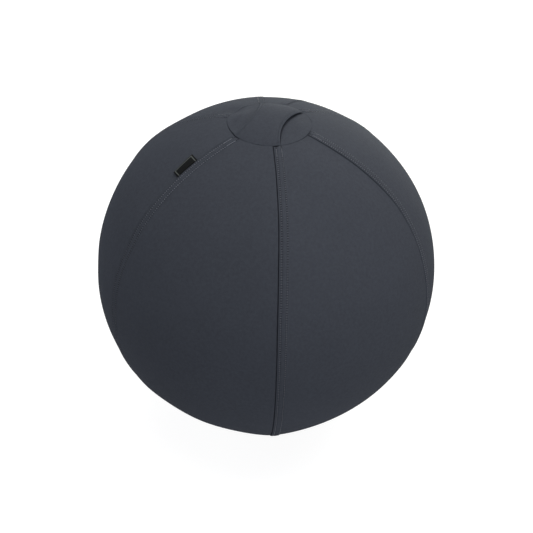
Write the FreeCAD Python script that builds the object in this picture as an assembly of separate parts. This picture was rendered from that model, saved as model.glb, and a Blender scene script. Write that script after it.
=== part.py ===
import FreeCAD, Part
import math
import os

# A sitting ball: an air-filled ball in a zipped cover of six panels, with a carry handle and a weighted foot.
# Millimetres, Z up. The ball stands on Z = 0 and its handle runs along Y.

V = FreeCAD.Vector
ORIGIN = V(0, 0, 0)
ACROSS = V(0, 1, 0)
UP = V(0, 0, 1)

# Whole ball
BALL_DIAMETER = 646.0        # across the middles of two opposite panels
SEAM_RIDGE = 4.5             # how far a seam stands out past the panel middles at the widest place
CONTACT_RADIUS = 44.0        # flat where the ball rests on the floor
FRONT_SEAM = 25.0            # degrees from the handle's near end to the first seam, seen from above

# Cover
PANEL_COUNT = 6
FABRIC = 2.5                 # cover fabric
BAND_WIDTH = 17.0            # stitched-down seam allowance beside each seam
BAND_HEIGHT = 1.0            # how far that allowance stands up
DITCH_WIDTH = 0.8            # seam groove, each side of the seam
DITCH_DEPTH = 1.2
CAP_RADIUS = 72.0            # round cap under the handle
BASE_RADIUS = 110.0          # round patch at the floor

# Handle
HANDLE_WAIST = 55.0          # width at the middle
HANDLE_END = 81.6            # width at the sewn ends
HANDLE_GAP = 8.0             # finger room over the cap
HANDLE_THICK = 4.0           # at the middle
HANDLE_HEM = 1.5             # at the sewn ends

# Bare woven tab in a seam
TAB_LENGTH = 43.0
TAB_WIDTH = 16.0
TAB_THICK = 1.0
TAB_POLAR = 30.2             # degrees from the top of the ball to the tab's middle

# Zip in the seam behind
ZIP_LENGTH = 390.0
TAPE_GAP = 3.0               # between the two tapes
TAPE_THICK = 0.7
TAPE_HIDDEN = 7.5            # width of tape under each panel edge
TOOTH_LENGTH = 1.3           # along the zip
TOOTH_GAP = 0.2              # between two teeth of the closed chain
TOOTH_SEAT = 1.5             # width of a tooth's foot on its tape
TOOTH_NOSE = 0.9             # reach past the zip's middle
TOOTH_HEIGHT = 2.0
STOP_LENGTH = 3.0
SLIDER_LENGTH = 12.0
SLIDER_SIDE = 1.3            # side wall where the closed chain leaves
SLIDER_FLARE = 0.9           # extra wall where the rows come in
SLIDER_WING = 1.2            # top plate
SLOT_ROOM = 1.0              # between the slider and each panel edge
CHEEK_THICK = 1.0
CHEEK_LENGTH = 4.0
CHEEK_INSET = 0.8            # from the slider's side to the cheek
PIN_RADIUS = 0.8
PULL_LENGTH = 30.0
PULL_WIDTH = 8.0
PULL_NECK = 6.0              # narrow length beside the pin
PULL_THICK = 1.6
PULL_WALL = 0.8              # round the pin
PULL_SLOT = 3.0              # width of the finger slot

# Inside
BALL_WALL = 1.0
VALVE_LIP = 2.0              # collar round the plug's head
VALVE_DEPTH = 14.0
VALVE_FLANGE = 5.0           # how far the welded flange stands out round the valve
VALVE_FLANGE_THICK = 2.0
VALVE_BORE = 3.0             # radius
PLUG_HEAD = 7.0              # radius
PLUG_HEAD_THICK = 2.0
BALLAST_HEIGHT = 20.0
POUCH_WALL = 1.0

# Fits
CLEARANCE = 0.3              # between soft pieces, and between what moves and what it moves over
FIT = 0.1                    # between pieces pressed or welded together
HINGE_FIT = 0.2              # between the pull and its pin

# Worked out from the sizes above
RADIUS = BALL_DIAMETER / 2
CENTRE_HEIGHT = math.sqrt(RADIUS ** 2 - CONTACT_RADIUS ** 2)
PANEL_ANGLE = 360.0 / PANEL_COUNT
HALF_PANEL = math.pi / PANEL_COUNT
LINER = RADIUS - FABRIC
AIR_BALL = LINER - CLEARANCE
REACH = 2 * RADIUS           # long enough for any cutting tool
BACK_SEAM = FRONT_SEAM + 180.0
TAB_SEAM = FRONT_SEAM - PANEL_ANGLE
TOOTH_PITCH = 2 * (TOOTH_LENGTH + TOOTH_GAP)
TOOTH_ROOT = TAPE_GAP / 2 + TOOTH_SEAT
TUNNEL_HALF = TOOTH_ROOT + CLEARANCE
SLIDER_BACK = TUNNEL_HALF + SLIDER_SIDE
SLIDER_FRONT = SLIDER_BACK + SLIDER_FLARE
SLOT_HALF = SLIDER_FRONT + SLOT_ROOM
TAPE_WIDTH = SLOT_HALF + TAPE_HIDDEN
NECK_HALF = SLIDER_BACK - CHEEK_INSET - CHEEK_THICK - CLEARANCE
VALVE_RADIUS = PLUG_HEAD + VALVE_LIP


def turned(shape, degrees):
    """Copy of a shape made along X, turned about Z to an angle counted from the handle's near end."""
    copy = shape.copy()
    copy.rotate(ORIGIN, UP, degrees - 90.0)
    return copy


def revolved(edges, axis, degrees):
    """Solid swept by a closed outline about an axis through the ball's centre."""
    return Part.Face(Part.Wire(edges)).revolve(ORIGIN, axis, degrees)


def prism(points, along):
    """Solid swept straight by a closed polygon."""
    return Part.Face(Part.makePolygon(points + points[:1])).extrude(along)


def line(start, end):
    return Part.makeLine(start, end)


def arc(start, middle, end):
    return Part.Arc(start, middle, end).toShape()


def on_ball(radius, reach_from_axis, side):
    """Height on a ball at a distance from the upright axis; side is 1 above and -1 below the centre."""
    return side * math.sqrt(radius ** 2 - reach_from_axis ** 2)


def ball_point(radius, reach_from_axis, side):
    return V(reach_from_axis, 0, on_ball(radius, reach_from_axis, side))


def ball_arc(radius, start, end, side):
    """Arc on a ball, in the XZ plane, between two distances from the upright axis."""
    places = (start, (start + end) / 2, end)
    return arc(*[ball_point(radius, place, side) for place in places])


# One panel is an arc across, swung about a level axis, so that it lies flatter than a ball between its seams
SEAM_HALF_WIDTH = (RADIUS + SEAM_RIDGE) * math.sin(HALF_PANEL)
PANEL_SAG = RADIUS - (RADIUS + SEAM_RIDGE) * math.cos(HALF_PANEL)
PANEL_ARC = (SEAM_HALF_WIDTH ** 2 + PANEL_SAG ** 2) / (2 * PANEL_SAG)
ARC_CENTRE = RADIUS - PANEL_ARC


def panel_layer(outer, inner):
    """Closed ring of fabric between two offsets from the panel's face; the panel's middle faces X."""
    half = math.asin((SEAM_HALF_WIDTH + BAND_WIDTH) / PANEL_ARC)

    def point(offset, angle):
        radius = PANEL_ARC + offset
        return V(ARC_CENTRE + radius * math.cos(angle), radius * math.sin(angle), 0)

    outline = [
        arc(point(outer, -half), point(outer, 0), point(outer, half)),
        line(point(outer, half), point(inner, half)),
        arc(point(inner, half), point(inner, 0), point(inner, -half)),
        line(point(inner, -half), point(outer, -half)),
    ]
    return revolved(outline, ACROSS, 360)


def seam_radius(elevation):
    """Distance from the ball's centre to a seam at an angle above its widest place."""
    share = math.cos(elevation) * math.sin(HALF_PANEL)
    return ARC_CENTRE * math.sqrt(1 - share ** 2) + math.sqrt(PANEL_ARC ** 2 - (ARC_CENTRE * share) ** 2)


def panel_reach(offset, off_seam):
    """Distance out along the seam plane to the panel's face, at the widest place and a way off the seam."""
    along = ARC_CENTRE * math.cos(HALF_PANEL)
    across = ARC_CENTRE * math.sin(HALF_PANEL)
    rest = off_seam ** 2 - 2 * off_seam * across + ARC_CENTRE ** 2 - (PANEL_ARC + offset) ** 2
    return along + math.sqrt(along ** 2 - rest)


def seam_slab(near, far, side):
    """Upright slab beside a panel's seam plane; side is -1 for its left seam and 1 for its right one."""
    low = near if side < 0 else -far
    slab = Part.makeBox(REACH, far - near, 2 * REACH, V(0, low, -REACH))
    slab.rotate(ORIGIN, UP, side * PANEL_ANGLE / 2)
    return slab


def cover_panel():
    """One panel with its middle facing X: sheet, stitched-down band at its left seam and a groove at both."""
    spread = REACH * math.tan(HALF_PANEL)
    wedge = prism([V(0, 0, -REACH), V(REACH, -spread, -REACH), V(REACH, spread, -REACH)], V(0, 0, 2 * REACH))
    sheet = panel_layer(0, -FABRIC).common(wedge)
    band = panel_layer(BAND_HEIGHT, -FABRIC / 2).common(seam_slab(0, BAND_WIDTH, -1)).common(wedge)
    panel = sheet.fuse(band).removeSplitter()
    groove = panel_layer(BAND_HEIGHT + FABRIC, -DITCH_DEPTH)
    for side in (-1, 1):
        panel = panel.cut(groove.common(seam_slab(-DITCH_WIDTH, DITCH_WIDTH, side)))
    panel = panel.cut(Part.makeCylinder(CAP_RADIUS, REACH))
    return panel.cut(Part.makeCylinder(BASE_RADIUS, REACH, ORIGIN, V(0, 0, -1)))


def top_cap():
    """Round cap that closes the cover under the handle."""
    edge = CAP_RADIUS - CLEARANCE
    outline = [
        ball_arc(RADIUS, 0, edge, 1),
        line(ball_point(RADIUS, edge, 1), ball_point(LINER, edge, 1)),
        ball_arc(LINER, edge, 0, 1),
        line(V(0, 0, LINER), V(0, 0, RADIUS)),
    ]
    return revolved(outline, UP, 360)


def base_cap():
    """Round patch at the floor, flat where the ball rests."""
    edge = BASE_RADIUS - CLEARANCE
    floor = -CENTRE_HEIGHT
    inside = floor + FABRIC
    foot = math.sqrt(LINER ** 2 - inside ** 2)
    outline = [
        line(V(0, 0, floor), V(CONTACT_RADIUS, 0, floor)),
        ball_arc(RADIUS, CONTACT_RADIUS, edge, -1),
        line(ball_point(RADIUS, edge, -1), ball_point(LINER, edge, -1)),
        ball_arc(LINER, edge, foot, -1),
        line(V(foot, 0, inside), V(0, 0, inside)),
        line(V(0, 0, inside), V(0, 0, floor)),
    ]
    return revolved(outline, UP, 360)


def lens(radius, floor, top):
    """Solid between two levels inside a ball."""
    slab = Part.makeCylinder(radius, top - floor, V(0, 0, floor))
    return Part.makeSphere(radius).common(slab)


BALLAST_FLOOR = FABRIC + CLEARANCE - CENTRE_HEIGHT
BALLAST_TOP = BALLAST_FLOOR + BALLAST_HEIGHT


def ballast_pouch():
    """Closed pouch that lies in the foot of the cover."""
    outside = lens(AIR_BALL, BALLAST_FLOOR, BALLAST_TOP)
    return outside.cut(lens(AIR_BALL - POUCH_WALL, BALLAST_FLOOR + POUCH_WALL, BALLAST_TOP - POUCH_WALL))


def ballast_fill():
    """Sand in the pouch."""
    wall = POUCH_WALL + FIT
    return lens(AIR_BALL - wall, BALLAST_FLOOR + wall, BALLAST_TOP - wall)


def valve_seat():
    """Collar welded into the air ball, facing X, with a recess for the plug's head."""
    collar = Part.makeCylinder(VALVE_RADIUS, VALVE_DEPTH, V(AIR_BALL - VALVE_DEPTH, 0, 0), V(1, 0, 0))
    rim = VALVE_RADIUS + VALVE_FLANGE
    wall_inside = math.sqrt((AIR_BALL - BALL_WALL) ** 2 - rim ** 2) - FIT
    flange = Part.makeCylinder(rim, VALVE_FLANGE_THICK, V(wall_inside - VALVE_FLANGE_THICK, 0, 0), V(1, 0, 0))
    seat = collar.fuse(flange).removeSplitter().common(Part.makeSphere(AIR_BALL))
    bore = Part.makeCylinder(VALVE_BORE, 2 * VALVE_DEPTH, V(AIR_BALL - VALVE_DEPTH - FIT, 0, 0), V(1, 0, 0))
    recess = Part.makeCylinder(PLUG_HEAD, VALVE_DEPTH, V(AIR_BALL - PLUG_HEAD_THICK, 0, 0), V(1, 0, 0))
    return seat.cut(bore).cut(recess)


def valve_plug():
    """Plug with a flat head, flush with the air ball."""
    head_floor = AIR_BALL - PLUG_HEAD_THICK + FIT
    head = Part.makeCylinder(PLUG_HEAD - FIT, PLUG_HEAD_THICK, V(head_floor, 0, 0), V(1, 0, 0))
    stem = Part.makeCylinder(VALVE_BORE - FIT, VALVE_DEPTH, V(AIR_BALL - VALVE_DEPTH, 0, 0), V(1, 0, 0))
    return head.fuse(stem).removeSplitter().common(Part.makeSphere(AIR_BALL))


def inner_ball():
    """Air ball pressed flat on the ballast, with the hole for its valve facing X."""
    floor = BALLAST_TOP + CLEARANCE
    hollow = AIR_BALL - BALL_WALL
    outside = lens(AIR_BALL, floor, AIR_BALL)
    wall = outside.cut(lens(hollow, floor + BALL_WALL, hollow))
    hole = Part.makeCylinder(VALVE_RADIUS + FIT, REACH, ORIGIN, V(1, 0, 0))
    return wall.cut(hole)


def carry_handle():
    """Waisted strap arched over the cap, thin at its sewn ends."""
    edge = CAP_RADIUS - CLEARANCE
    seat = on_ball(RADIUS, edge, 1) + CLEARANCE
    under_top = RADIUS + HANDLE_GAP

    def dome(rim_height, top):
        rise = top - rim_height
        radius = (edge ** 2 + rise ** 2) / (2 * rise)
        return Part.makeSphere(radius, V(0, 0, top - radius))

    end_x = HANDLE_END / 2
    end_y = math.sqrt(edge ** 2 - end_x ** 2)
    waist = HANDLE_WAIST / 2
    outline = [
        arc(V(end_x, -end_y, 0), V(waist, 0, 0), V(end_x, end_y, 0)),
        arc(V(end_x, end_y, 0), V(0, edge, 0), V(-end_x, end_y, 0)),
        arc(V(-end_x, end_y, 0), V(-waist, 0, 0), V(-end_x, -end_y, 0)),
        arc(V(-end_x, -end_y, 0), V(0, -edge, 0), V(end_x, -end_y, 0)),
    ]
    plan = Part.Face(Part.Wire(outline)).extrude(V(0, 0, REACH))
    strap = dome(seat + HANDLE_HEM, under_top + HANDLE_THICK).cut(dome(seat, under_top))
    return strap.common(plan)


def side_tab():
    """Bare folded tab that lies on the panel left of its seam; the seam faces X."""
    middle = math.pi / 2 - math.radians(TAB_POLAR)
    layer = panel_layer(CLEARANCE + TAB_THICK, CLEARANCE)
    layer.rotate(ORIGIN, UP, -PANEL_ANGLE / 2)
    corner = V(RADIUS / 2, -TAB_WIDTH, -TAB_LENGTH / 2)
    block = Part.makeBox(RADIUS, TAB_WIDTH - DITCH_WIDTH, TAB_LENGTH, corner)
    block.rotate(ORIGIN, ACROSS, -math.degrees(middle))
    return layer.common(block)


# The zip follows a circle through the seam at its widest place and at the zip's two ends
ZIP_END = ZIP_LENGTH / 2 / (RADIUS + SEAM_RIDGE)
ZIP_END_OUT = seam_radius(ZIP_END) * math.cos(ZIP_END)
ZIP_END_UP = seam_radius(ZIP_END) * math.sin(ZIP_END)
SEAM_OUT = seam_radius(0)
ZIP_CENTRE = (SEAM_OUT ** 2 - ZIP_END_OUT ** 2 - ZIP_END_UP ** 2) / (2 * (SEAM_OUT - ZIP_END_OUT))
ZIP_RADIUS = SEAM_OUT - ZIP_CENTRE
ZIP_AXIS_POINT = V(ZIP_CENTRE, 0, 0)
ZIP_HALF_ANGLE = math.degrees(ZIP_LENGTH / 2 / ZIP_RADIUS)
TAPE_TOP = panel_reach(-FABRIC, TAPE_WIDTH) - CLEARANCE - ZIP_CENTRE
CHAIN_TOP = TAPE_TOP + TOOTH_HEIGHT
WING_TOP = CHAIN_TOP + CLEARANCE + SLIDER_WING
PIN_HEIGHT = WING_TOP + CLEARANCE + PIN_RADIUS + HINGE_FIT + PULL_WALL


def along_zip(shape, millimetres):
    """Copy of a shape made at the zip's middle, moved up along the zip."""
    copy = shape.copy()
    copy.rotate(ZIP_AXIS_POINT, ACROSS, -math.degrees(millimetres / ZIP_RADIUS))
    return copy


def zip_band(low, high, left, right, half_angle):
    """Curved bar along the zip between two heights over its axis and two places across it."""
    corners = [V(low, left, 0), V(high, left, 0), V(high, right, 0), V(low, right, 0)]
    face = Part.Face(Part.makePolygon(corners + corners[:1]))
    face.translate(ZIP_AXIS_POINT)
    face.rotate(ZIP_AXIS_POINT, ACROSS, half_angle)
    return face.revolve(ZIP_AXIS_POINT, V(0, -1, 0), 2 * half_angle)


def zip_slot():
    """Space between the two panel edges over the zip."""
    return zip_band(TAPE_TOP - TAPE_WIDTH, ZIP_RADIUS + TAPE_WIDTH, -SLOT_HALF, SLOT_HALF, ZIP_HALF_ANGLE)


def zip_tape(side):
    """Woven tape under one panel edge; side is 1 or -1."""
    edges = sorted((side * TAPE_GAP / 2, side * TAPE_WIDTH))
    return zip_band(TAPE_TOP - TAPE_THICK, TAPE_TOP, edges[0], edges[1], ZIP_HALF_ANGLE)


# Closed end below, where the slider is parked, and open end above
STOP_FOOT = CLEARANCE - ZIP_LENGTH / 2
CHAIN_START = STOP_FOOT + STOP_LENGTH + SLIDER_LENGTH / 2
CHAIN_END = ZIP_LENGTH / 2 - 2 * STOP_LENGTH
SLIDER_PARK = CHAIN_START + CLEARANCE
SLIDER_TOP = CHAIN_END - SLIDER_LENGTH / 2 - CLEARANCE


def zip_teeth(side):
    """Row of moulded teeth on one tape; the other side's row lies half a pitch further on."""
    half = TOOTH_LENGTH / 2
    nose = half * (1 - TOOTH_NOSE / TOOTH_ROOT)
    foot = ZIP_CENTRE + TAPE_TOP
    plan = [
        V(foot, side * TOOTH_ROOT, -half), V(foot, 0, -half),
        V(foot, -side * TOOTH_NOSE, -nose), V(foot, -side * TOOTH_NOSE, nose),
        V(foot, 0, half), V(foot, side * TOOTH_ROOT, half),
    ]
    tooth = prism(plan, V(TOOTH_HEIGHT, 0, 0))
    shift = TOOTH_PITCH * (1 + side) / 4
    count = int((CHAIN_END - CHAIN_START - TOOTH_PITCH) / TOOTH_PITCH)
    places = [CHAIN_START + TOOTH_PITCH / 2 + shift + step * TOOTH_PITCH for step in range(count)]
    return Part.makeCompound([along_zip(tooth, place) for place in places])


def zip_stops():
    """Two stops under the parked slider and one across the chain at the open end."""
    foot = ZIP_CENTRE + TAPE_TOP

    def stop(left, right, place):
        block = Part.makeBox(TOOTH_HEIGHT, right - left, STOP_LENGTH, V(foot, left, -STOP_LENGTH / 2))
        return along_zip(block, place)

    low = STOP_FOOT + STOP_LENGTH / 2
    high = CHAIN_END + STOP_LENGTH / 2
    inner = TAPE_GAP / 2
    return Part.makeCompound([
        stop(inner, TOOTH_ROOT, low),
        stop(-TOOTH_ROOT, -inner, low),
        stop(-TOOTH_ROOT, TOOTH_ROOT, high),
    ])


def zip_slider():
    """Slider astride the chain, with two cheeks and a cross pin for the pull."""
    half = SLIDER_LENGTH / 2
    foot = ZIP_CENTRE + TAPE_TOP + CLEARANCE
    plan = [
        V(foot, -SLIDER_FRONT, -half), V(foot, SLIDER_FRONT, -half), V(foot, SLIDER_FRONT, 0),
        V(foot, SLIDER_BACK, half), V(foot, -SLIDER_BACK, half), V(foot, -SLIDER_FRONT, 0),
    ]
    body = prism(plan, V(WING_TOP - TAPE_TOP - CLEARANCE, 0, 0))
    tunnel_height = CHAIN_TOP + CLEARANCE - TAPE_TOP
    tunnel = Part.makeBox(tunnel_height, 2 * TUNNEL_HALF, 2 * SLIDER_LENGTH)
    tunnel.translate(V(ZIP_CENTRE + TAPE_TOP, -TUNNEL_HALF, -SLIDER_LENGTH))
    slider = body.cut(tunnel)
    pin_out = ZIP_CENTRE + PIN_HEIGHT
    eye_half = NECK_HALF + CLEARANCE
    for side in (-1, 1):
        low = eye_half if side > 0 else -eye_half - CHEEK_THICK
        corner = V(ZIP_CENTRE + WING_TOP, low, -CHEEK_LENGTH / 2)
        plate = Part.makeBox(PIN_HEIGHT - WING_TOP, CHEEK_THICK, CHEEK_LENGTH, corner)
        crown = Part.makeCylinder(CHEEK_LENGTH / 2, CHEEK_THICK, V(pin_out, low, 0), ACROSS)
        slider = slider.fuse(plate).fuse(crown)
    pin = Part.makeCylinder(PIN_RADIUS, 2 * eye_half, V(pin_out, -eye_half, 0), ACROSS)
    slider = slider.fuse(pin).removeSplitter()
    return along_zip(slider, SLIDER_PARK)


def pin_place():
    """Middle of the pull's pin with the slider parked."""
    angle = SLIDER_PARK / ZIP_RADIUS
    return V(ZIP_CENTRE + PIN_HEIGHT * math.cos(angle), 0, PIN_HEIGHT * math.sin(angle))


def zip_pull():
    """Pull that hangs straight down from the slider's pin."""
    wide = PULL_WIDTH / 2
    bore = PIN_RADIUS + HINGE_FIT
    face = -PULL_THICK / 2
    tail = PULL_LENGTH - wide
    flare = PULL_NECK + abs(wide - NECK_HALF)
    eye = Part.makeCylinder(bore + PULL_WALL, 2 * NECK_HALF, V(0, -NECK_HALF, 0), ACROSS)
    outline = [
        line(V(face, NECK_HALF, 0), V(face, NECK_HALF, -PULL_NECK)),
        line(V(face, NECK_HALF, -PULL_NECK), V(face, wide, -flare)),
        line(V(face, wide, -flare), V(face, wide, -tail)),
        arc(V(face, wide, -tail), V(face, 0, -PULL_LENGTH), V(face, -wide, -tail)),
        line(V(face, -wide, -tail), V(face, -wide, -flare)),
        line(V(face, -wide, -flare), V(face, -NECK_HALF, -PULL_NECK)),
        line(V(face, -NECK_HALF, -PULL_NECK), V(face, -NECK_HALF, 0)),
        line(V(face, -NECK_HALF, 0), V(face, NECK_HALF, 0)),
    ]
    plate = Part.Face(Part.Wire(outline)).extrude(V(PULL_THICK, 0, 0))
    slot_half = PULL_SLOT / 2
    slot_top = -(flare + PULL_SLOT)
    slot = Part.makeBox(2 * PULL_THICK, PULL_SLOT, slot_top + tail, V(2 * face, -slot_half, -tail))
    for height in (slot_top, -tail):
        slot = slot.fuse(Part.makeCylinder(slot_half, 2 * PULL_THICK, V(2 * face, 0, height), V(1, 0, 0)))
    hole = Part.makeCylinder(bore, 4 * NECK_HALF, V(0, -2 * NECK_HALF, 0), ACROSS)
    pull = eye.fuse(plate).removeSplitter().cut(slot).cut(hole)
    pull.translate(pin_place())
    return pull


def save(name, shape):
    """Stand the piece on the floor and write it out."""
    placed = shape.copy()
    placed.translate(V(0, 0, CENTRE_HEIGHT))
    placed.exportStep(os.path.join("parts", name + ".step"))
    print(name, "valid", placed.isValid(), "solids", len(placed.Solids), "volume", round(placed.Volume, 1))


def main():
    os.makedirs("parts", exist_ok=True)
    panel = cover_panel()
    slot = turned(zip_slot(), BACK_SEAM)
    for index in range(PANEL_COUNT):
        piece = turned(panel, FRONT_SEAM + PANEL_ANGLE * (index + 0.5))
        if abs(index + 0.5 - PANEL_COUNT / 2) < 1:
            piece = piece.cut(slot)
        save("cover_panel_%d" % (index + 1), piece)
    save("top_cap", top_cap())
    save("base_cap", base_cap())
    save("carry_handle", carry_handle())
    save("side_tab", turned(side_tab(), TAB_SEAM))
    for name, side in (("left", -1), ("right", 1)):
        save("zip_tape_" + name, turned(zip_tape(side), BACK_SEAM))
        save("zip_teeth_" + name, turned(zip_teeth(side), BACK_SEAM))
    save("zip_stops", turned(zip_stops(), BACK_SEAM))
    save("zip_slider", turned(zip_slider(), BACK_SEAM))
    save("zip_pull", turned(zip_pull(), BACK_SEAM))
    save("inner_ball", turned(inner_ball(), BACK_SEAM))
    save("valve_seat", turned(valve_seat(), BACK_SEAM))
    save("valve_plug", turned(valve_plug(), BACK_SEAM))
    save("ballast_pouch", ballast_pouch())
    save("ballast_fill", ballast_fill())
    axis = turned(Part.Vertex(ZIP_CENTRE, 0, 0), BACK_SEAM).Point
    pin = turned(Part.Vertex(pin_place()), BACK_SEAM).Point
    across = turned(Part.Vertex(0, -1, 0), BACK_SEAM).Point
    print("zip axis point", axis.x, axis.y, axis.z + CENTRE_HEIGHT)
    print("pull pin point", pin.x, pin.y, pin.z + CENTRE_HEIGHT)
    print("both turn about", across.x, across.y, across.z)
    print("slider travel, radians", (SLIDER_TOP - SLIDER_PARK) / ZIP_RADIUS)
    print("parked below the middle, degrees", math.degrees(-SLIDER_PARK / ZIP_RADIUS))


main()
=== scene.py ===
"""Looks of a sitting ball: a knitted cover in six gores, sewn round an air ball.

On top are a round cap and a carry strap, at one seam a bare woven tab, behind a zip, and below a
grippy patch under a pouch of sand. Lengths are metres and angles radians, unless a name ends in _deg.
Azimuth is counted from the strap's near end, -Y, towards +X, and elevation from the ball's widest level.
"""

import logging
import math
from dataclasses import dataclass, field
from enum import Enum
from typing import Any, Mapping, Optional, Sequence, Union

import bpy
import numpy as np
from mathutils import Matrix, Vector


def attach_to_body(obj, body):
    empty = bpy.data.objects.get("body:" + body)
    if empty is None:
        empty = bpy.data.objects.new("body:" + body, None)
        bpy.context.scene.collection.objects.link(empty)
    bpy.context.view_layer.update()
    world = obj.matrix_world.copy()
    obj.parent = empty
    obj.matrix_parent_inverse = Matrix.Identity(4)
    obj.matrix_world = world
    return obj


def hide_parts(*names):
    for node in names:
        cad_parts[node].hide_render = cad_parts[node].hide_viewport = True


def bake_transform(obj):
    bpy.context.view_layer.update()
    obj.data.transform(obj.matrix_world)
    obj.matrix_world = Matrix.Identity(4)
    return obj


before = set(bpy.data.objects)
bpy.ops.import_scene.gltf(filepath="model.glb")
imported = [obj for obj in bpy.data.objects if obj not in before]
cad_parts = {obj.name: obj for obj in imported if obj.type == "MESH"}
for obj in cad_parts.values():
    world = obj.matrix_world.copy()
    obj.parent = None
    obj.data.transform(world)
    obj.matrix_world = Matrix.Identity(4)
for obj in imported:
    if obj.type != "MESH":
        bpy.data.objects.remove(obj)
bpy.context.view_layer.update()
CLOTH_MAP = "cloth"
CREASE_SHADE = "crease_shade"
SEWN = "sewn"
OUTWARD = "outward"
THREAD_HIGHLIGHT = "pale"
STITCH_PITCH = 0.0040
TAB_LENGTH = 0.043
TAB_WIDTH = 0.0180
UP = np.array((0.0, 0.0, 1.0))

log = logging.getLogger("sitting_ball")
Colour = tuple[float, float, float]
Key = Union[int, str]
Depth = Union[np.ndarray, float]


class Body(Enum):
    """CAD bodies that pieces ride on."""

    BALL = "ball"
    HANDLE = "handle"


class Slot(Enum):
    """Material slots of the record."""

    COVER = "cover_fabric"
    FLOOR = "floor_fabric"
    TAB = "tab_weave"
    TAPE = "zip_weave"
    VINYL = "ball_vinyl"
    POUCH = "pouch_cloth"


class Side(Enum):
    """The two edges of a gore or sides of the zip, seen from outside."""

    LEFT = -1
    RIGHT = 1


def smooth(value: np.ndarray) -> np.ndarray:
    """Eases a share from 0 to 1 with level ends."""
    share = np.clip(value, 0.0, 1.0)
    return share * share * (3.0 - 2.0 * share)


def bell(distance: np.ndarray, width: float) -> np.ndarray:
    """Rounded bump of height 1 about distance 0."""
    return np.exp(-((distance / width) ** 2))


def from_top_deg(elevation: np.ndarray) -> np.ndarray:
    """Angle from the ball's top, in degrees."""
    return np.degrees(math.pi / 2.0 - elevation)


def turned_deg(azimuth: np.ndarray) -> np.ndarray:
    """Azimuth in degrees, from -180 to 180."""
    return np.degrees(np.angle(np.exp(1j * azimuth)))


class Term:
    """A shader value that takes part in Python sums; each operator adds its Math node."""

    def __init__(self, graph: "Graph", socket: bpy.types.NodeSocket) -> None:
        """Wraps an output socket of a graph."""
        self.graph = graph
        self.socket = socket

    def _math(self, operation: str, *operands: Any) -> "Term":
        """Adds a Math node over the operands and wraps its result."""
        node = self.graph.add("ShaderNodeMath", {"operation": operation}, dict(enumerate(operands)))
        return Term(self.graph, node.outputs[0])

    def __add__(self, other: Any) -> "Term":
        """Sum with a value or number."""
        return self._math("ADD", self, other)

    def __sub__(self, other: Any) -> "Term":
        """Difference from a value or number."""
        return self._math("SUBTRACT", self, other)

    def __rsub__(self, other: Any) -> "Term":
        """Difference of a number from this."""
        return self._math("SUBTRACT", other, self)

    def __mul__(self, other: Any) -> "Term":
        """Product with a value or number."""
        return self._math("MULTIPLY", self, other)

    def __truediv__(self, other: Any) -> "Term":
        """Quotient by a value or number."""
        return self._math("DIVIDE", self, other)

    def __pow__(self, other: Any) -> "Term":
        """Power."""
        return self._math("POWER", self, other)

    def __abs__(self) -> "Term":
        """Size without sign."""
        return self._math("ABSOLUTE", self)

    __radd__ = __add__

    def fraction(self) -> "Term":
        """Part after the point."""
        return self._math("FRACT", self)

    def sine(self) -> "Term":
        """Sine of the value in radians."""
        return self._math("SINE", self)

    def cosine(self) -> "Term":
        """Cosine of the value in radians."""
        return self._math("COSINE", self)

    def least(self, other: Any) -> "Term":
        """The smaller of two values."""
        return self._math("MINIMUM", self, other)

    def over(self, limit: float) -> "Term":
        """1 where the value is over a limit and 0 elsewhere."""
        return self._math("GREATER_THAN", self, limit)


class Graph:
    """A node tree and the one method that adds its nodes."""

    def __init__(self, tree: bpy.types.NodeTree) -> None:
        """Takes over a tree and empties it."""
        self.tree = tree
        tree.nodes.clear()

    def add(
        self,
        kind: str,
        settings: Optional[Mapping[str, Any]] = None,
        values: Optional[Mapping[Key, Any]] = None,
    ) -> bpy.types.Node:
        """Adds a node.

        Args:
            kind: Blender's name of the node type.
            settings: properties, set first.
            values: numbers, colours, sockets or Terms, by the input's place, identifier or name.

        Returns:
            The new node.
        """
        node = self.tree.nodes.new(kind)
        for name, setting in (settings or {}).items():
            setattr(node, name, setting)
        for key, value in (values or {}).items():
            socket = self.pick(node.inputs, key)
            source = value.socket if isinstance(value, Term) else value
            if isinstance(source, bpy.types.NodeSocket):
                self.tree.links.new(source, socket)
            else:
                socket.default_value = source
        return node

    @staticmethod
    def pick(sockets: Any, key: Key) -> bpy.types.NodeSocket:
        """Finds a node's socket.

        Args:
            sockets: a node's inputs or outputs.
            key: place, identifier or name.

        Returns:
            The socket.
        """
        if isinstance(key, int):
            return sockets[key]
        found = [socket for socket in sockets if socket.identifier == key]
        return found[0] if found else sockets[key]


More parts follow.
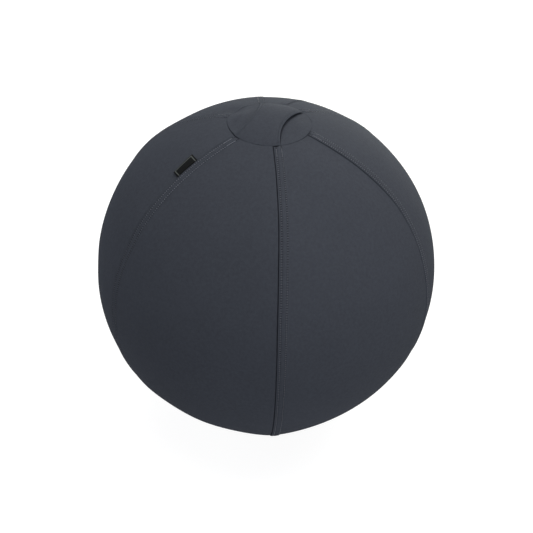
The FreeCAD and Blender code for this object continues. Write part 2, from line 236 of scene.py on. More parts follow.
class Surface(Graph):
    """A material's tree with the patterns that the finishes share."""

    def __init__(self, name: str) -> None:
        """Starts an empty material.

        Args:
            name: the material's name.
        """
        self.material = bpy.data.materials.new(name)
        self.material.use_nodes = True
        super().__init__(self.material.node_tree)

    def term(
        self, kind: str, settings: Mapping[str, Any], values: Mapping[Key, Any], output: Key = 0
    ) -> Term:
        """Adds a node and wraps one of its outputs."""
        return Term(self, self.pick(self.add(kind, settings, values).outputs, output))

    def cloth(self) -> tuple[Term, Term]:
        """Places on the cut piece.

        Returns:
            Across and along, in metres.
        """
        chart = self.add("ShaderNodeUVMap", {"uv_map": CLOTH_MAP})
        parts = self.add("ShaderNodeSeparateXYZ", {}, {0: chart.outputs["UV"]})
        return Term(self, parts.outputs["X"]), Term(self, parts.outputs["Y"])

    def weave(self, pitch: float) -> Term:
        """Height of threads that pass over each other.

        Args:
            pitch: way from thread to thread.

        Returns:
            The height, from 0 to 1.
        """
        across, along = self.cloth()
        warp = (across * (math.tau / pitch)).sine()
        weft = (along * (math.tau / pitch)).sine()
        return warp * weft * 0.5 + 0.5

    def painted(self, name: str) -> Term:
        """Value that the mesh carries, such as painted shade in creases or a thread's painted highlight."""
        return self.term("ShaderNodeAttribute", {"attribute_name": name}, {}, "Fac")

    def noise(self, scale: float, detail: float = 2.0) -> Term:
        """Cloudy value about 0.5, in turns per metre."""
        place = self.add("ShaderNodeTexCoord").outputs["Object"]
        return self.term("ShaderNodeTexNoise", {}, {"Vector": place, "Scale": scale, "Detail": detail}, "Fac")

    def mix(self, share: Any, first: Any, second: Any) -> bpy.types.NodeSocket:
        """Blends two colours.

        Args:
            share: 0 for the first, 1 for the second.
            first: a colour.
            second: a colour.

        Returns:
            The blended colour.
        """
        settings = {"data_type": "RGBA", "clamp_factor": True}
        colours = {key: (*value, 1.0) if isinstance(value, tuple) else value
                   for key, value in (("A_Color", first), ("B_Color", second))}
        node = self.add("ShaderNodeMix", settings, {"Factor_Float": share, **colours})
        return self.pick(node.outputs, "Result_Color")

    def bump(self, height: Term, depth: float, strength: float = 1.0) -> bpy.types.NodeSocket:
        """Normal of a relief of that depth in metres."""
        node = self.add("ShaderNodeBump", {}, {"Height": height, "Distance": depth, "Strength": strength})
        return node.outputs["Normal"]

    def finish(self, values: Mapping[Key, Any]) -> bpy.types.Material:
        """Closes the tree with the surface shader.

        Args:
            values: the shader's inputs.

        Returns:
            The material.
        """
        shader = self.add("ShaderNodeBsdfPrincipled", {}, values)
        self.add("ShaderNodeOutputMaterial", {}, {"Surface": shader.outputs[0]})
        return self.material


def shade(colour: Colour, share: float) -> Colour:
    """A colour made darker or paler by a factor."""
    return tuple(part * share for part in colour)


@dataclass(frozen=True)
class KnitFinish:
    """Soft matt jersey with small loops and a faint mottle."""

    name: str = "cover_knit"
    tone: Colour = (0.0520, 0.0565, 0.0685)
    wale: float = 0.0013
    course: float = 0.0010
    depth: float = 0.00022
    slant: float = 1.6
    loop_share: float = 0.35
    gap_share: float = 0.35
    gap_shade: float = 0.45
    mottle: float = 0.34
    noise_scales: tuple[float, float, float] = (620.0, 190.0, 9.0)
    noise_shares: tuple[float, float, float] = (0.3, 0.5, 0.2)
    noise_details: tuple[float, float, float] = (2.0, 3.0, 3.0)
    hole: float = 0.95
    hole_floor: float = 0.1
    shadow: Colour = (0.0085, 0.0096, 0.0135)
    roughness: float = 0.86
    gap_roughness: float = 0.10
    shine: float = 0.012
    fuzz: float = 0.3
    relief: float = 0.7

    def material(self) -> bpy.types.Material:
        """Builds the jersey: slanted legs of loops with painted shade between them, mottled yarn and painted
        shadow in seam bottoms, creases and needle holes.

        Returns:
            The material.
        """
        surface = Surface(self.name)
        across, along = surface.cloth()
        leg = abs((across / self.wale).fraction() - 0.5)
        yarn = 1.0 - abs(leg * 4.0 - 1.0)
        loop = ((along / self.course + leg * self.slant) * math.tau).sine() * 0.5 + 0.5
        relief = yarn * (1.0 - self.loop_share) + loop * self.loop_share
        fine, cloudy, broad = (
            surface.noise(scale, detail) for scale, detail in zip(self.noise_scales, self.noise_details))
        fine_share, cloudy_share, broad_share = self.noise_shares
        share = fine * fine_share + cloudy * cloudy_share + broad * broad_share
        dark, light = (shade(self.tone, 1.0 + sign * self.mottle) for sign in (-1.0, 1.0))
        mottled = surface.mix(share, dark, light)
        raised = relief * self.gap_share + (1.0 - self.gap_share)
        looped = surface.mix(raised, shade(self.tone, self.gap_shade), mottled)
        # Painted shadow at the needle holes beside the rows of stitches.
        hole = (along * (math.tau / STITCH_PITCH)).cosine() * 0.5 + 0.5
        hole_shade = surface.painted(SEWN) * (hole ** 2.0 * (1.0 - self.hole_floor) + self.hole_floor) * self.hole
        hole_shaded = surface.mix(hole_shade, looped, self.shadow)
        # Painted shadow in creases, seam ditches, rim seams, folds and under the strap.
        return surface.finish({
            "Base Color": surface.mix(surface.painted(CREASE_SHADE), hole_shaded, self.shadow),
            "Roughness": self.roughness + (1.0 - yarn) * self.gap_roughness,
            "Specular IOR Level": self.shine,
            "Normal": surface.bump(relief + fine * self.fuzz, self.depth, self.relief),
        })


@dataclass(frozen=True)
class ThreadFinish:
    """Twisted sewing thread, dyed to match the knit and a little smoother."""

    name: str = "sewing_thread"
    tone: Colour = (0.050, 0.053, 0.062)
    # Colour of the thread's painted highlight.
    pale: Colour = (0.150, 0.159, 0.187)
    twist: float = 1800.0
    twist_share: float = 0.2
    roughness: float = 0.55
    twist_roughness: float = 0.15
    shine: float = 0.15
    depth: float = 0.0001
    relief: float = 0.5

    def material(self) -> bpy.types.Material:
        """Builds the thread with its fine twist and a painted highlight, stronger in some rows than in
        others.

        Returns:
            The material.
        """
        surface = Surface(self.name)
        twist = surface.noise(self.twist, detail=1.0)
        # The pale tone is a painted highlight; the twist adds random unevenness.
        share = surface.painted(THREAD_HIGHLIGHT) + twist * self.twist_share - self.twist_share / 2.0
        return surface.finish({
            "Base Color": surface.mix(share, self.tone, self.pale),
            "Roughness": self.roughness + twist * self.twist_roughness,
            "Specular IOR Level": self.shine,
            "Normal": surface.bump(twist, self.depth, self.relief),
        })


@dataclass(frozen=True)
class WeaveFinish:
    """Flat woven tape or canvas: warp and weft that pass over each other."""

    name: str
    tone: Colour
    pitch: float
    depth: float
    roughness: float
    sheen: float = 0.05
    fuzz: float = 900.0
    fuzz_share: float = 0.3
    fuzz_roughness: float = 0.12
    shades: tuple[float, float] = (0.62, 1.30)
    fold_share: float = 0.8
    fold_shade: float = 0.3
    shine: float = 0.3
    relief: float = 0.8

    def material(self) -> bpy.types.Material:
        """Builds a plain weave from two crossed waves, with painted shade in its hollows and painted light on
        its crowns.

        Returns:
            The material.
        """
        surface = Surface(self.name)
        relief = surface.weave(self.pitch)
        fine = surface.noise(self.fuzz)
        share = relief * (1.0 - self.fuzz_share) + fine * self.fuzz_share
        # The colour follows the weave's relief: painted shade in the hollows and painted light on the crowns,
        # mixed with random fuzz.
        woven = surface.mix(share, *(shade(self.tone, part) for part in self.shades))
        # Painted shade in folds and seams.
        folded = surface.painted(CREASE_SHADE) * self.fold_share
        return surface.finish({
            "Base Color": surface.mix(folded, woven, shade(self.tone, self.fold_shade)),
            "Roughness": self.roughness + fine * self.fuzz_roughness,
            "Specular IOR Level": self.shine,
            "Sheen Weight": self.sheen,
            "Normal": surface.bump(relief, self.depth, self.relief),
        })


@dataclass(frozen=True)
class TabFinish:
    """Dense black satin weave with a paler line woven round its free sides."""

    name: str = "tab_satin"
    tone: Colour = (0.0042, 0.0046, 0.0047)
    line: Colour = (0.070, 0.076, 0.072)
    shades: tuple[float, float] = (0.7, 1.3)
    pitch: float = 0.0006
    inset: float = 0.0034
    half_line: float = 0.0009
    roughness: float = 0.60
    weave_roughness: float = 0.15
    shine: float = 0.05
    depth: float = 0.0001
    relief: float = 0.7

    def material(self) -> bpy.types.Material:
        """Builds the weave, with painted shade in its hollows and painted light on its crowns, and its
        border.

        Returns:
            The material.
        """
        surface = Surface(self.name)
        across, along = surface.cloth()
        relief = surface.weave(self.pitch)
        margin = (TAB_WIDTH - across).least(along).least(TAB_LENGTH - along)
        off_line = abs(margin - self.inset)
        border = 1.0 - off_line.over(self.half_line)
        # The colour follows the weave's relief: painted shade in the hollows and painted light on the crowns.
        plain = surface.mix(relief, *(shade(self.tone, part) for part in self.shades))
        return surface.finish({
            "Base Color": surface.mix(border, plain, self.line),
            "Roughness": self.roughness + relief * self.weave_roughness,
            "Specular IOR Level": self.shine,
            "Normal": surface.bump(relief, self.depth, self.relief),
        })


@dataclass(frozen=True)
class MouldedFinish:
    """Moulded plastic or vinyl with a fine grain and slight flow marks."""

    name: str
    tone: Colour
    roughness: float
    grain: float = 900.0
    depth: float = 0.00004
    flow: float = 24.0
    shades: tuple[float, float] = (0.88, 1.12)
    grain_roughness: float = 0.10
    flow_roughness: float = 0.06
    relief: float = 0.5

    def material(self) -> bpy.types.Material:
        """Builds the grained skin.

        Returns:
            The material.
        """
        surface = Surface(self.name)
        grain = surface.noise(self.grain)
        flow = surface.noise(self.flow, detail=3.0)
        return surface.finish({
            "Base Color": surface.mix(flow, *(shade(self.tone, part) for part in self.shades)),
            "Roughness": self.roughness + grain * self.grain_roughness - flow * self.flow_roughness,
            "Normal": surface.bump(grain, self.depth, self.relief),
        })


@dataclass(frozen=True)
class EnamelFinish:
    """Satin enamel over die-cast metal, rubbed bare in small specks."""

    name: str = "zip_enamel"
    tone: Colour = (0.030, 0.031, 0.034)
    bare: Colour = (0.42, 0.42, 0.43)
    specks: float = 420.0
    wear: float = 0.70
    worn_metal: float = 0.9
    roughness: float = 0.38
    speck_roughness: float = 0.14
    depth: float = 0.00003
    relief: float = 0.4

    def material(self) -> bpy.types.Material:
        """Builds the enamel with its worn specks.

        Returns:
            The material.
        """
        surface = Surface(self.name)
        specks = surface.noise(self.specks, detail=4.0)
        worn = specks.over(self.wear)
        return surface.finish({
            "Base Color": surface.mix(worn, self.tone, self.bare),
            "Metallic": worn * self.worn_metal,
            "Roughness": self.roughness + specks * self.speck_roughness,
            "Normal": surface.bump(specks, self.depth, self.relief),
        })


@dataclass(frozen=True)
class SandFinish:
    """Loose dry sand."""

    name: str = "dry_sand"
    tone: Colour = (0.36, 0.30, 0.21)
    grain: float = 1100.0
    shades: tuple[float, float] = (0.55, 1.45)
    roughness: float = 0.92
    grain_roughness: float = 0.10
    depth: float = 0.0005
    relief: float = 0.8

    def material(self) -> bpy.types.Material:
        """Builds grains of mixed tone.

        Returns:
            The material.
        """
        surface = Surface(self.name)
        grains = surface.noise(self.grain, detail=3.0)
        return surface.finish({
            "Base Color": surface.mix(grains, *(shade(self.tone, part) for part in self.shades)),
            "Roughness": self.roughness - grains * self.grain_roughness,
            "Normal": surface.bump(grains, self.depth, self.relief),
        })


class MeshDraft:
    """Vertices, faces, cloth places and painted shade of creases of a mesh that is being drawn up."""

    def __init__(self) -> None:
        """Starts with nothing drawn."""
        self.points: list[np.ndarray] = []
        self.cloth: list[np.ndarray] = []
        self.crease_shade: list[np.ndarray] = []
        self.sewn: list[np.ndarray] = []
        self.faces: list[np.ndarray] = []
        self.count = 0

    def add(
        self, points: np.ndarray, cloth: np.ndarray, crease_shade: Depth = 0.0, sewn: Depth = 0.0
    ) -> np.ndarray:
        """Adds vertices.

        Args:
            points: places, the last axis holding x, y and z.
            cloth: places on the cut piece, the last axis holding across and along.
            crease_shade: painted shade in folds and seams, from 0 to 1.
            sewn: nearness to a row of stitches, from 0 to 1.

        Returns:
            The vertices' numbers in the same layout as the points.
        """
        layout = points.shape[:-1]
        size = int(np.prod(layout))
        self.points.append(points.reshape(size, 3))
        self.cloth.append(np.broadcast_to(cloth, (*layout, 2)).reshape(size, 2))
        self.crease_shade.append(np.broadcast_to(crease_shade, layout).reshape(size))
        self.sewn.append(np.broadcast_to(sewn, layout).reshape(size))
        numbers = np.arange(self.count, self.count + size).reshape(layout)
        self.count += size
        return numbers

    def grid(self, numbers: np.ndarray, flip: bool = False, wrap: bool = False) -> None:
        """Adds the quads of a grid of vertices.

        Args:
            numbers: the grid of vertices.
            flip: turns the faces over.
            wrap: joins the last column to the first.
        """
        if wrap:
            numbers = np.concatenate((numbers, numbers[:, :1]), axis=1)
        corners = (numbers[:-1, :-1], numbers[:-1, 1:], numbers[1:, 1:], numbers[1:, :-1])
        quads = np.stack(corners, axis=-1).reshape(-1, 4)
        self.faces.append(quads[:, ::-1] if flip else quads)

    def fan(self, middle: int, ring: np.ndarray, flip: bool = False) -> None:
        """Adds triangles from one vertex to a closed ring.

        Args:
            middle: the vertex.
            ring: the ring's vertices.
            flip: turns the faces over.
        """
        after = np.roll(ring, -1)
        wedges = np.stack((np.full_like(ring, middle), ring, after), axis=-1)
        self.faces.append(wedges[:, ::-1] if flip else wedges)

    def ladder(self, near: np.ndarray, far: np.ndarray, flip: bool = False) -> None:
        """Adds the faces between two like rows of vertices, which may share their ends.

        Args:
            near: one row.
            far: the other row.
            flip: turns the faces over.
        """
        for quad in np.stack((near[:-1], near[1:], far[1:], far[:-1]), axis=-1):
            corners = list(dict.fromkeys(quad.tolist()))
            self.faces.append(np.array([corners[::-1] if flip else corners]))

    def shell(self, outer: np.ndarray, inner: np.ndarray) -> None:
        """Closes two like grids of vertices into a thin solid.

        Args:
            outer: the outer grid.
            inner: the inner grid.
        """
        self.grid(outer)
        self.grid(inner, flip=True)

        def border(numbers: np.ndarray) -> np.ndarray:
            """Vertices round the edge, in order, with the first repeated."""
            sides = (numbers[0, :-1], numbers[:-1, -1], numbers[-1, :0:-1], numbers[::-1, 0])
            return np.concatenate(sides)

        self.grid(np.stack((border(outer), border(inner))), flip=True)

    def build(self, name: str) -> bpy.types.Mesh:
        """Makes the mesh, with its faces turned outwards.

        Args:
            name: the mesh's name.

        Returns:
            A smooth-shaded mesh with its cloth chart, its painted shade of creases and its stitch attribute.
        """
        points = np.concatenate(self.points)
        halves = [face[:, :3] for face in self.faces]
        halves += [face[:, (0, 2, 3)] for face in self.faces if face.shape[1] == 4]
        first, second, third = (points[corner] for corner in np.concatenate(halves).T)
        volume = np.sum((first - points.mean(axis=0)) * np.cross(second - first, third - first))
        faces = self.faces if volume > 0 else [face[:, ::-1] for face in self.faces]
        loops = np.concatenate([face.ravel() for face in faces])
        sizes = np.concatenate([np.full(len(face), face.shape[1]) for face in faces])
        starts = np.concatenate(([0], np.cumsum(sizes)[:-1]))
        mesh = bpy.data.meshes.new(name)
        mesh.vertices.add(len(points))
        mesh.vertices.foreach_set("co", points.astype(np.float32).ravel())
        mesh.loops.add(len(loops))
        mesh.loops.foreach_set("vertex_index", loops.astype(np.int32))
        mesh.polygons.add(len(sizes))
        mesh.polygons.foreach_set("loop_start", starts.astype(np.int32))
        mesh.update(calc_edges=True)
        chart = mesh.uv_layers.new(name=CLOTH_MAP)
        chart.data.foreach_set("uv", np.concatenate(self.cloth)[loops].astype(np.float32).ravel())
        for kind, values in ((CREASE_SHADE, self.crease_shade), (SEWN, self.sewn)):
            painted = mesh.attributes.new(kind, "FLOAT", "POINT")
            painted.data.foreach_set("value", np.concatenate(values).astype(np.float32))
        mesh.shade_smooth()
        return mesh


def place(name: str, mesh: bpy.types.Mesh, finish: bpy.types.Material) -> bpy.types.Object:
    """Puts a mesh with its finish into the scene.

    Args:
        name: the piece's name.
        mesh: its mesh.
        finish: its material.

    Returns:
        The piece.
    """
    mesh.materials.clear()
    mesh.materials.append(finish)
    piece = bpy.data.objects.new(name, mesh)
    bpy.context.scene.collection.objects.link(piece)
    return piece


def attach(
    piece: bpy.types.Object, body: Optional[Body], nodes: Sequence[str] = ()
) -> bpy.types.Object:
    """Lets a piece ride on a body and stand for CAD nodes, and reports it.

    Args:
        piece: the finished piece.
        body: the CAD body that carries it, or None for a piece that rides on none.
        nodes: the CAD nodes that it stands for.

    Returns:
        The same piece.
    """
    if body:
        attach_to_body(piece, body.value)
    if nodes:
        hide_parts(*nodes)
    log.info("%s: %d faces, for %s", piece.name, len(piece.data.polygons), ", ".join(nodes) or "no node")
    return piece


@dataclass(frozen=True)
class BallForm:
    """The cover's outer shape: gores that lie flatter than a ball between raised seams."""

    radius: float = 0.323
    ridge: float = 0.0045
    contact: float = 0.044
    gore_count: int = 6
    front_seam_deg: float = 25.0
    fabric: float = 0.0025
    cap_radius: float = 0.072
    base_radius: float = 0.110
    seam_lifts: tuple[float, ...] = (0.0016, -0.0030, 0.0, 0.0, 0.0010, -0.0020)
    gore_fills: tuple[float, ...] = (0.0, 0.0014, 0.0, 0.0, 0.0, 0.0)
    lift_width: float = 0.045
    seam_drifts_deg: tuple[tuple[tuple[float, float], ...], ...] = (
        ((13.0, 0.3), (20.0, 0.7), (38.0, 0.35), (50.0, -0.35), (68.0, -0.9), (90.0, -0.95), (120.0, -0.9)),
        ((13.0, -2.4), (20.0, -1.7), (26.0, 0.1), (38.0, 1.9), (47.0, 2.5), (56.0, 1.9), (74.0, 0.2),
         (90.0, 0.0)),
        ((13.0, 0.0), (90.0, 0.0)),
        ((13.0, 0.0), (90.0, 0.0)),
        ((13.0, 0.0), (90.0, 0.0)),
        ((13.0, 0.6), (26.0, -0.2), (38.0, -1.0), (60.0, -1.2), (110.0, -1.2)),
    )
    drift_ease_deg: int = 4
    seam_opens: tuple[tuple[float, float], ...] = (
        (1.0, 1.0), (0.85, 0.55), (0.02, 0.6), (0.12, 0.6), (0.08, 0.5), (0.85, 0.20))
    open_polar_deg: tuple[float, float] = (36.0, 64.0)
    rim_strays: tuple[tuple[float, float], ...] = (
        (-180.0, 0.0), (-140.0, 0.0), (-115.0, 0.0024), (-104.0, 0.0028), (-94.0, 0.0044), (-80.0, 0.0038),
        (-65.0, 0.0009), (-54.0, -0.0004), (-41.0, -0.0010), (-30.0, 0.0), (180.0, 0.0))
    rim_fade: float = 0.25
    # Painted highlight on each seam's two rows of thread, near the cap and lower down, where light catches
    # them.
    row_highlights: tuple[tuple[tuple[float, float], tuple[float, float]], ...] = (
        ((0.30, 0.42), (0.30, 0.45)), ((0.44, 0.48), (0.26, 0.24)), ((0.25, 0.25), (0.25, 0.25)),
        ((0.25, 0.25), (0.25, 0.25)), ((0.25, 0.25), (0.25, 0.25)), ((0.70, 0.02), (0.82, 0.02)))
    swells: tuple[tuple[float, float, float, float], ...] = (
        (80.0, 105.0, 0.036, 0.0017), (-4.0, 124.0, 0.045, 0.0012), (-27.0, 115.0, 0.035, 0.0015),
        (-60.0, 84.0, 0.035, -0.0014), (-107.0, 40.0, 0.030, -0.0014), (-155.0, 27.0, 0.026, -0.0010),
        (-106.0, 13.6, 0.015, -0.0034), (-36.0, 52.0, 0.050, 0.0020), (-36.0, 72.0, 0.050, 0.0024))

    @property
    def centre(self) -> np.ndarray:
        """Middle of the ball, which stands on a small flat at height 0."""
        return np.array((0.0, 0.0, math.sqrt(self.radius ** 2 - self.contact ** 2)))

    @property
    def half_gore(self) -> float:
        """Turn from a gore's middle to its seam."""
        return math.pi / self.gore_count

    @property
    def rim(self) -> float:
        """Elevation of the cap's seam."""
        return math.acos(self.cap_radius / self.radius)

    @property
    def foot(self) -> float:
        """Elevation of the base patch's seam."""
        return -math.acos(self.base_radius / self.radius)

    def seam_azimuth(self, number: int) -> float:
        """Azimuth of a seam, counted from the front one."""
        return math.radians(self.front_seam_deg + 360.0 / self.gore_count * number)

    def seam_drift(self, number: int, elevation: np.ndarray) -> np.ndarray:
        """Turn by which a seam strays from its even place.

        Args:
            number: the seam's number.
            elevation: in radians.

        Returns:
            Turns in radians.
        """
        places = np.array(self.seam_drifts_deg[number % self.gore_count])
        polar = from_top_deg(elevation)
        steps = range(-self.drift_ease_deg, self.drift_ease_deg + 1)
        drifts = [np.interp(polar + step, places[:, 0], places[:, 1]) for step in steps]
        return np.radians(sum(drifts) / len(drifts))

    def down_seam(self, high: float, low: float, elevation: np.ndarray) -> np.ndarray:
        """Value that passes from one to another down a seam."""
        first, last = self.open_polar_deg
        return high + (low - high) * smooth((from_top_deg(elevation) - first) / (last - first))

    def seam_open(self, number: int, elevation: np.ndarray) -> np.ndarray:
        """How far a seam's ditch gapes, from 0 to 1: some are pulled shut beside the cap."""
        return self.down_seam(*self.seam_opens[number % self.gore_count], elevation)

    def row_highlight(self, number: int, row: int, elevation: np.ndarray) -> np.ndarray:
        """Painted highlight on the thread of one of a seam's two rows, from 0 to 1."""
        return self.down_seam(*self.row_highlights[number % self.gore_count][row], elevation)

    def swell(self, elevation: np.ndarray, azimuth: np.ndarray) -> np.ndarray:
        """How far the cover stands out or in where it is unevenly filled.

        Args:
            elevation: in radians.
            azimuth: in radians.

        Returns:
            Heights in metres.
        """
        outward = self.heading(elevation, azimuth)
        total = np.zeros(outward.shape[:-1])
        for azimuth_deg, polar_deg, spread, height in self.swells:
            middle = self.heading(math.radians(90.0 - polar_deg), math.radians(azimuth_deg))
            total += height * bell(np.linalg.norm(outward - middle, axis=-1) * self.radius, spread)
        return total

    def rim_stray(self, azimuth: np.ndarray) -> np.ndarray:
        """How far the cap's rim lies outside its even circle."""
        places = np.array(self.rim_strays)
        return np.interp(turned_deg(azimuth), places[:, 0], places[:, 1])

    def rim_lag(self, elevation: np.ndarray, azimuth: np.ndarray) -> np.ndarray:
        """Angle by which a gore's cloth lies lower because the rim strays."""
        return self.rim_stray(azimuth) / self.radius * (1.0 - smooth((self.rim - elevation) / self.rim_fade))

    def gore_reach(self, elevation: np.ndarray, turn: np.ndarray) -> np.ndarray:
        """Distance from the ball's centre to a gore's face.

        Args:
            elevation: angle over the widest level.
            turn: angle from the gore's middle.

        Returns:
            The distances.
        """
        half_width = (self.radius + self.ridge) * math.sin(self.half_gore)
        sag = self.radius - (self.radius + self.ridge) * math.cos(self.half_gore)
        arc = (half_width ** 2 + sag ** 2) / (2.0 * sag)
        shift = self.radius - arc
        share = np.cos(elevation) * np.sin(turn)
        return shift * np.sqrt(1.0 - share ** 2) + np.sqrt(arc ** 2 - (shift * share) ** 2)

    @staticmethod
    def heading(elevation: Depth, azimuth: Depth) -> np.ndarray:
        """Directions from the ball's centre.

        Args:
            elevation: in radians.
            azimuth: in radians.

        Returns:
            Unit vectors.
        """
        elevation, azimuth = np.broadcast_arrays(elevation, azimuth)
        level = np.cos(elevation)
        return np.stack((level * np.sin(azimuth), -level * np.cos(azimuth), np.sin(elevation)), axis=-1)

    def cap_height(self, x: np.ndarray, y: np.ndarray) -> np.ndarray:
        """Height of the cap's face over a place in plan."""
        return self.centre[2] + np.sqrt(self.radius ** 2 - x ** 2 - y ** 2)


@dataclass(frozen=True)
class ZipPath:
    """Circle that the zip follows in the back seam, and the opening round it."""

    form: BallForm
    length: float = 0.390
    slot_half: float = 0.0065
    taper: float = 0.012
    seam_number: int = 3

    @property
    def azimuth(self) -> float:
        """Azimuth of the back seam."""
        return self.form.seam_azimuth(self.seam_number)

    @property
    def circle(self) -> tuple[float, float]:
        """The circle's place and size.

        Returns:
            Distance of its middle from the ball's centre, and its radius.
        """
        form = self.form
        end = self.length / 2.0 / (form.radius + form.ridge)
        out = float(form.gore_reach(0.0, form.half_gore))
        end_reach = float(form.gore_reach(end, form.half_gore))
        end_out = end_reach * math.cos(end)
        middle = (out ** 2 - end_reach ** 2) / (2.0 * (out - end_out))
        return middle, out - middle

    def opening(self, elevation: np.ndarray) -> np.ndarray:
        """Half width of the gap between the two gores' edges."""
        past = np.abs(elevation) * self.form.radius - self.length / 2.0
        return self.slot_half * (1.0 - smooth(past / self.taper))

    def point(self, along: np.ndarray, across: np.ndarray, height: np.ndarray) -> np.ndarray:
        """Places beside the zip.

        Args:
            along: way up the zip from its middle.
            across: way to the right of it, seen from outside.
            height: way out from the zip's circle.

        Returns:
            The places in the ball's frame.
        """
        middle, radius = self.circle
        along, across, height = np.broadcast_arrays(along, across, height)
        angle = along / radius
        out = middle + (radius + height) * np.cos(angle)
        up = (radius + height) * np.sin(angle)
        ahead = self.form.heading(np.zeros_like(out), self.azimuth)
        beside = np.array((math.cos(self.azimuth), math.sin(self.azimuth), 0.0))
        return self.form.centre + ahead * out[..., None] + beside * across[..., None] + UP * up[..., None]


@dataclass(frozen=True)
class SeamProfile:
    """Section of a lapped seam: a ditch with painted shade and, on its right, an allowance sewn down by two
    rows.
    """

    ditch: float = 0.0017
    ditch_floor: float = 0.0004
    roll: float = 0.0010
    fold: float = 0.0004
    ditch_shade: float = 0.72
    zip_lap: float = 0.6
    zip_floor: float = 0.0002
    zip_roll: float = 0.0007
    rim_ditch: float = 0.0014
    rim_floor: float = 0.0002
    rim_roll: float = 0.0011
    rim_shade: float = 0.62
    rim_pulls: tuple[tuple[float, float], ...] = (
        (-180.0, 0.05), (-140.0, 0.20), (-95.0, 0.40), (-60.0, 0.60), (-42.0, 1.1), (-27.0, 1.1),
        (-21.0, 0.10), (-8.0, 0.10), (10.0, 0.22), (23.0, 0.05), (26.0, 1.3), (31.0, 1.5), (34.0, 0.40),
        (55.0, 0.42), (80.0, 0.85), (88.0, 1.0), (96.0, 0.40), (112.0, 0.08), (180.0, 0.05))
    rim_widening: float = 1.6
    band_width: float = 0.0170
    band_fade: float = 0.0030
    band_height: float = 0.0010
    rows: tuple[float, float] = (0.0043, 0.0135)
    row_depth: float = 0.00045
    row_width: float = 0.0012
    puff: float = 0.0004
    puff_share: float = 2.6
    least_firm: float = 0.3
    fine_share: float = 1.5

    @property
    def fine_reach(self) -> float:
        """Width beside an edge in which the mesh is finest."""
        return self.roll * self.fine_share

    def rim_sink(self, distance: np.ndarray) -> np.ndarray:
        """Share of the full depth beside the cap's or the base patch's seam."""
        return 1.0 - smooth((distance - self.rim_floor) / self.rim_roll)

    def rim_pull(self, azimuth: np.ndarray) -> np.ndarray:
        """How far the cap's rim gapes and how much painted shade it gets: most on the left and where the
        front seam's layers end.
        """
        places = np.array(self.rim_pulls)
        return np.interp(turned_deg(azimuth), places[:, 0], places[:, 1])


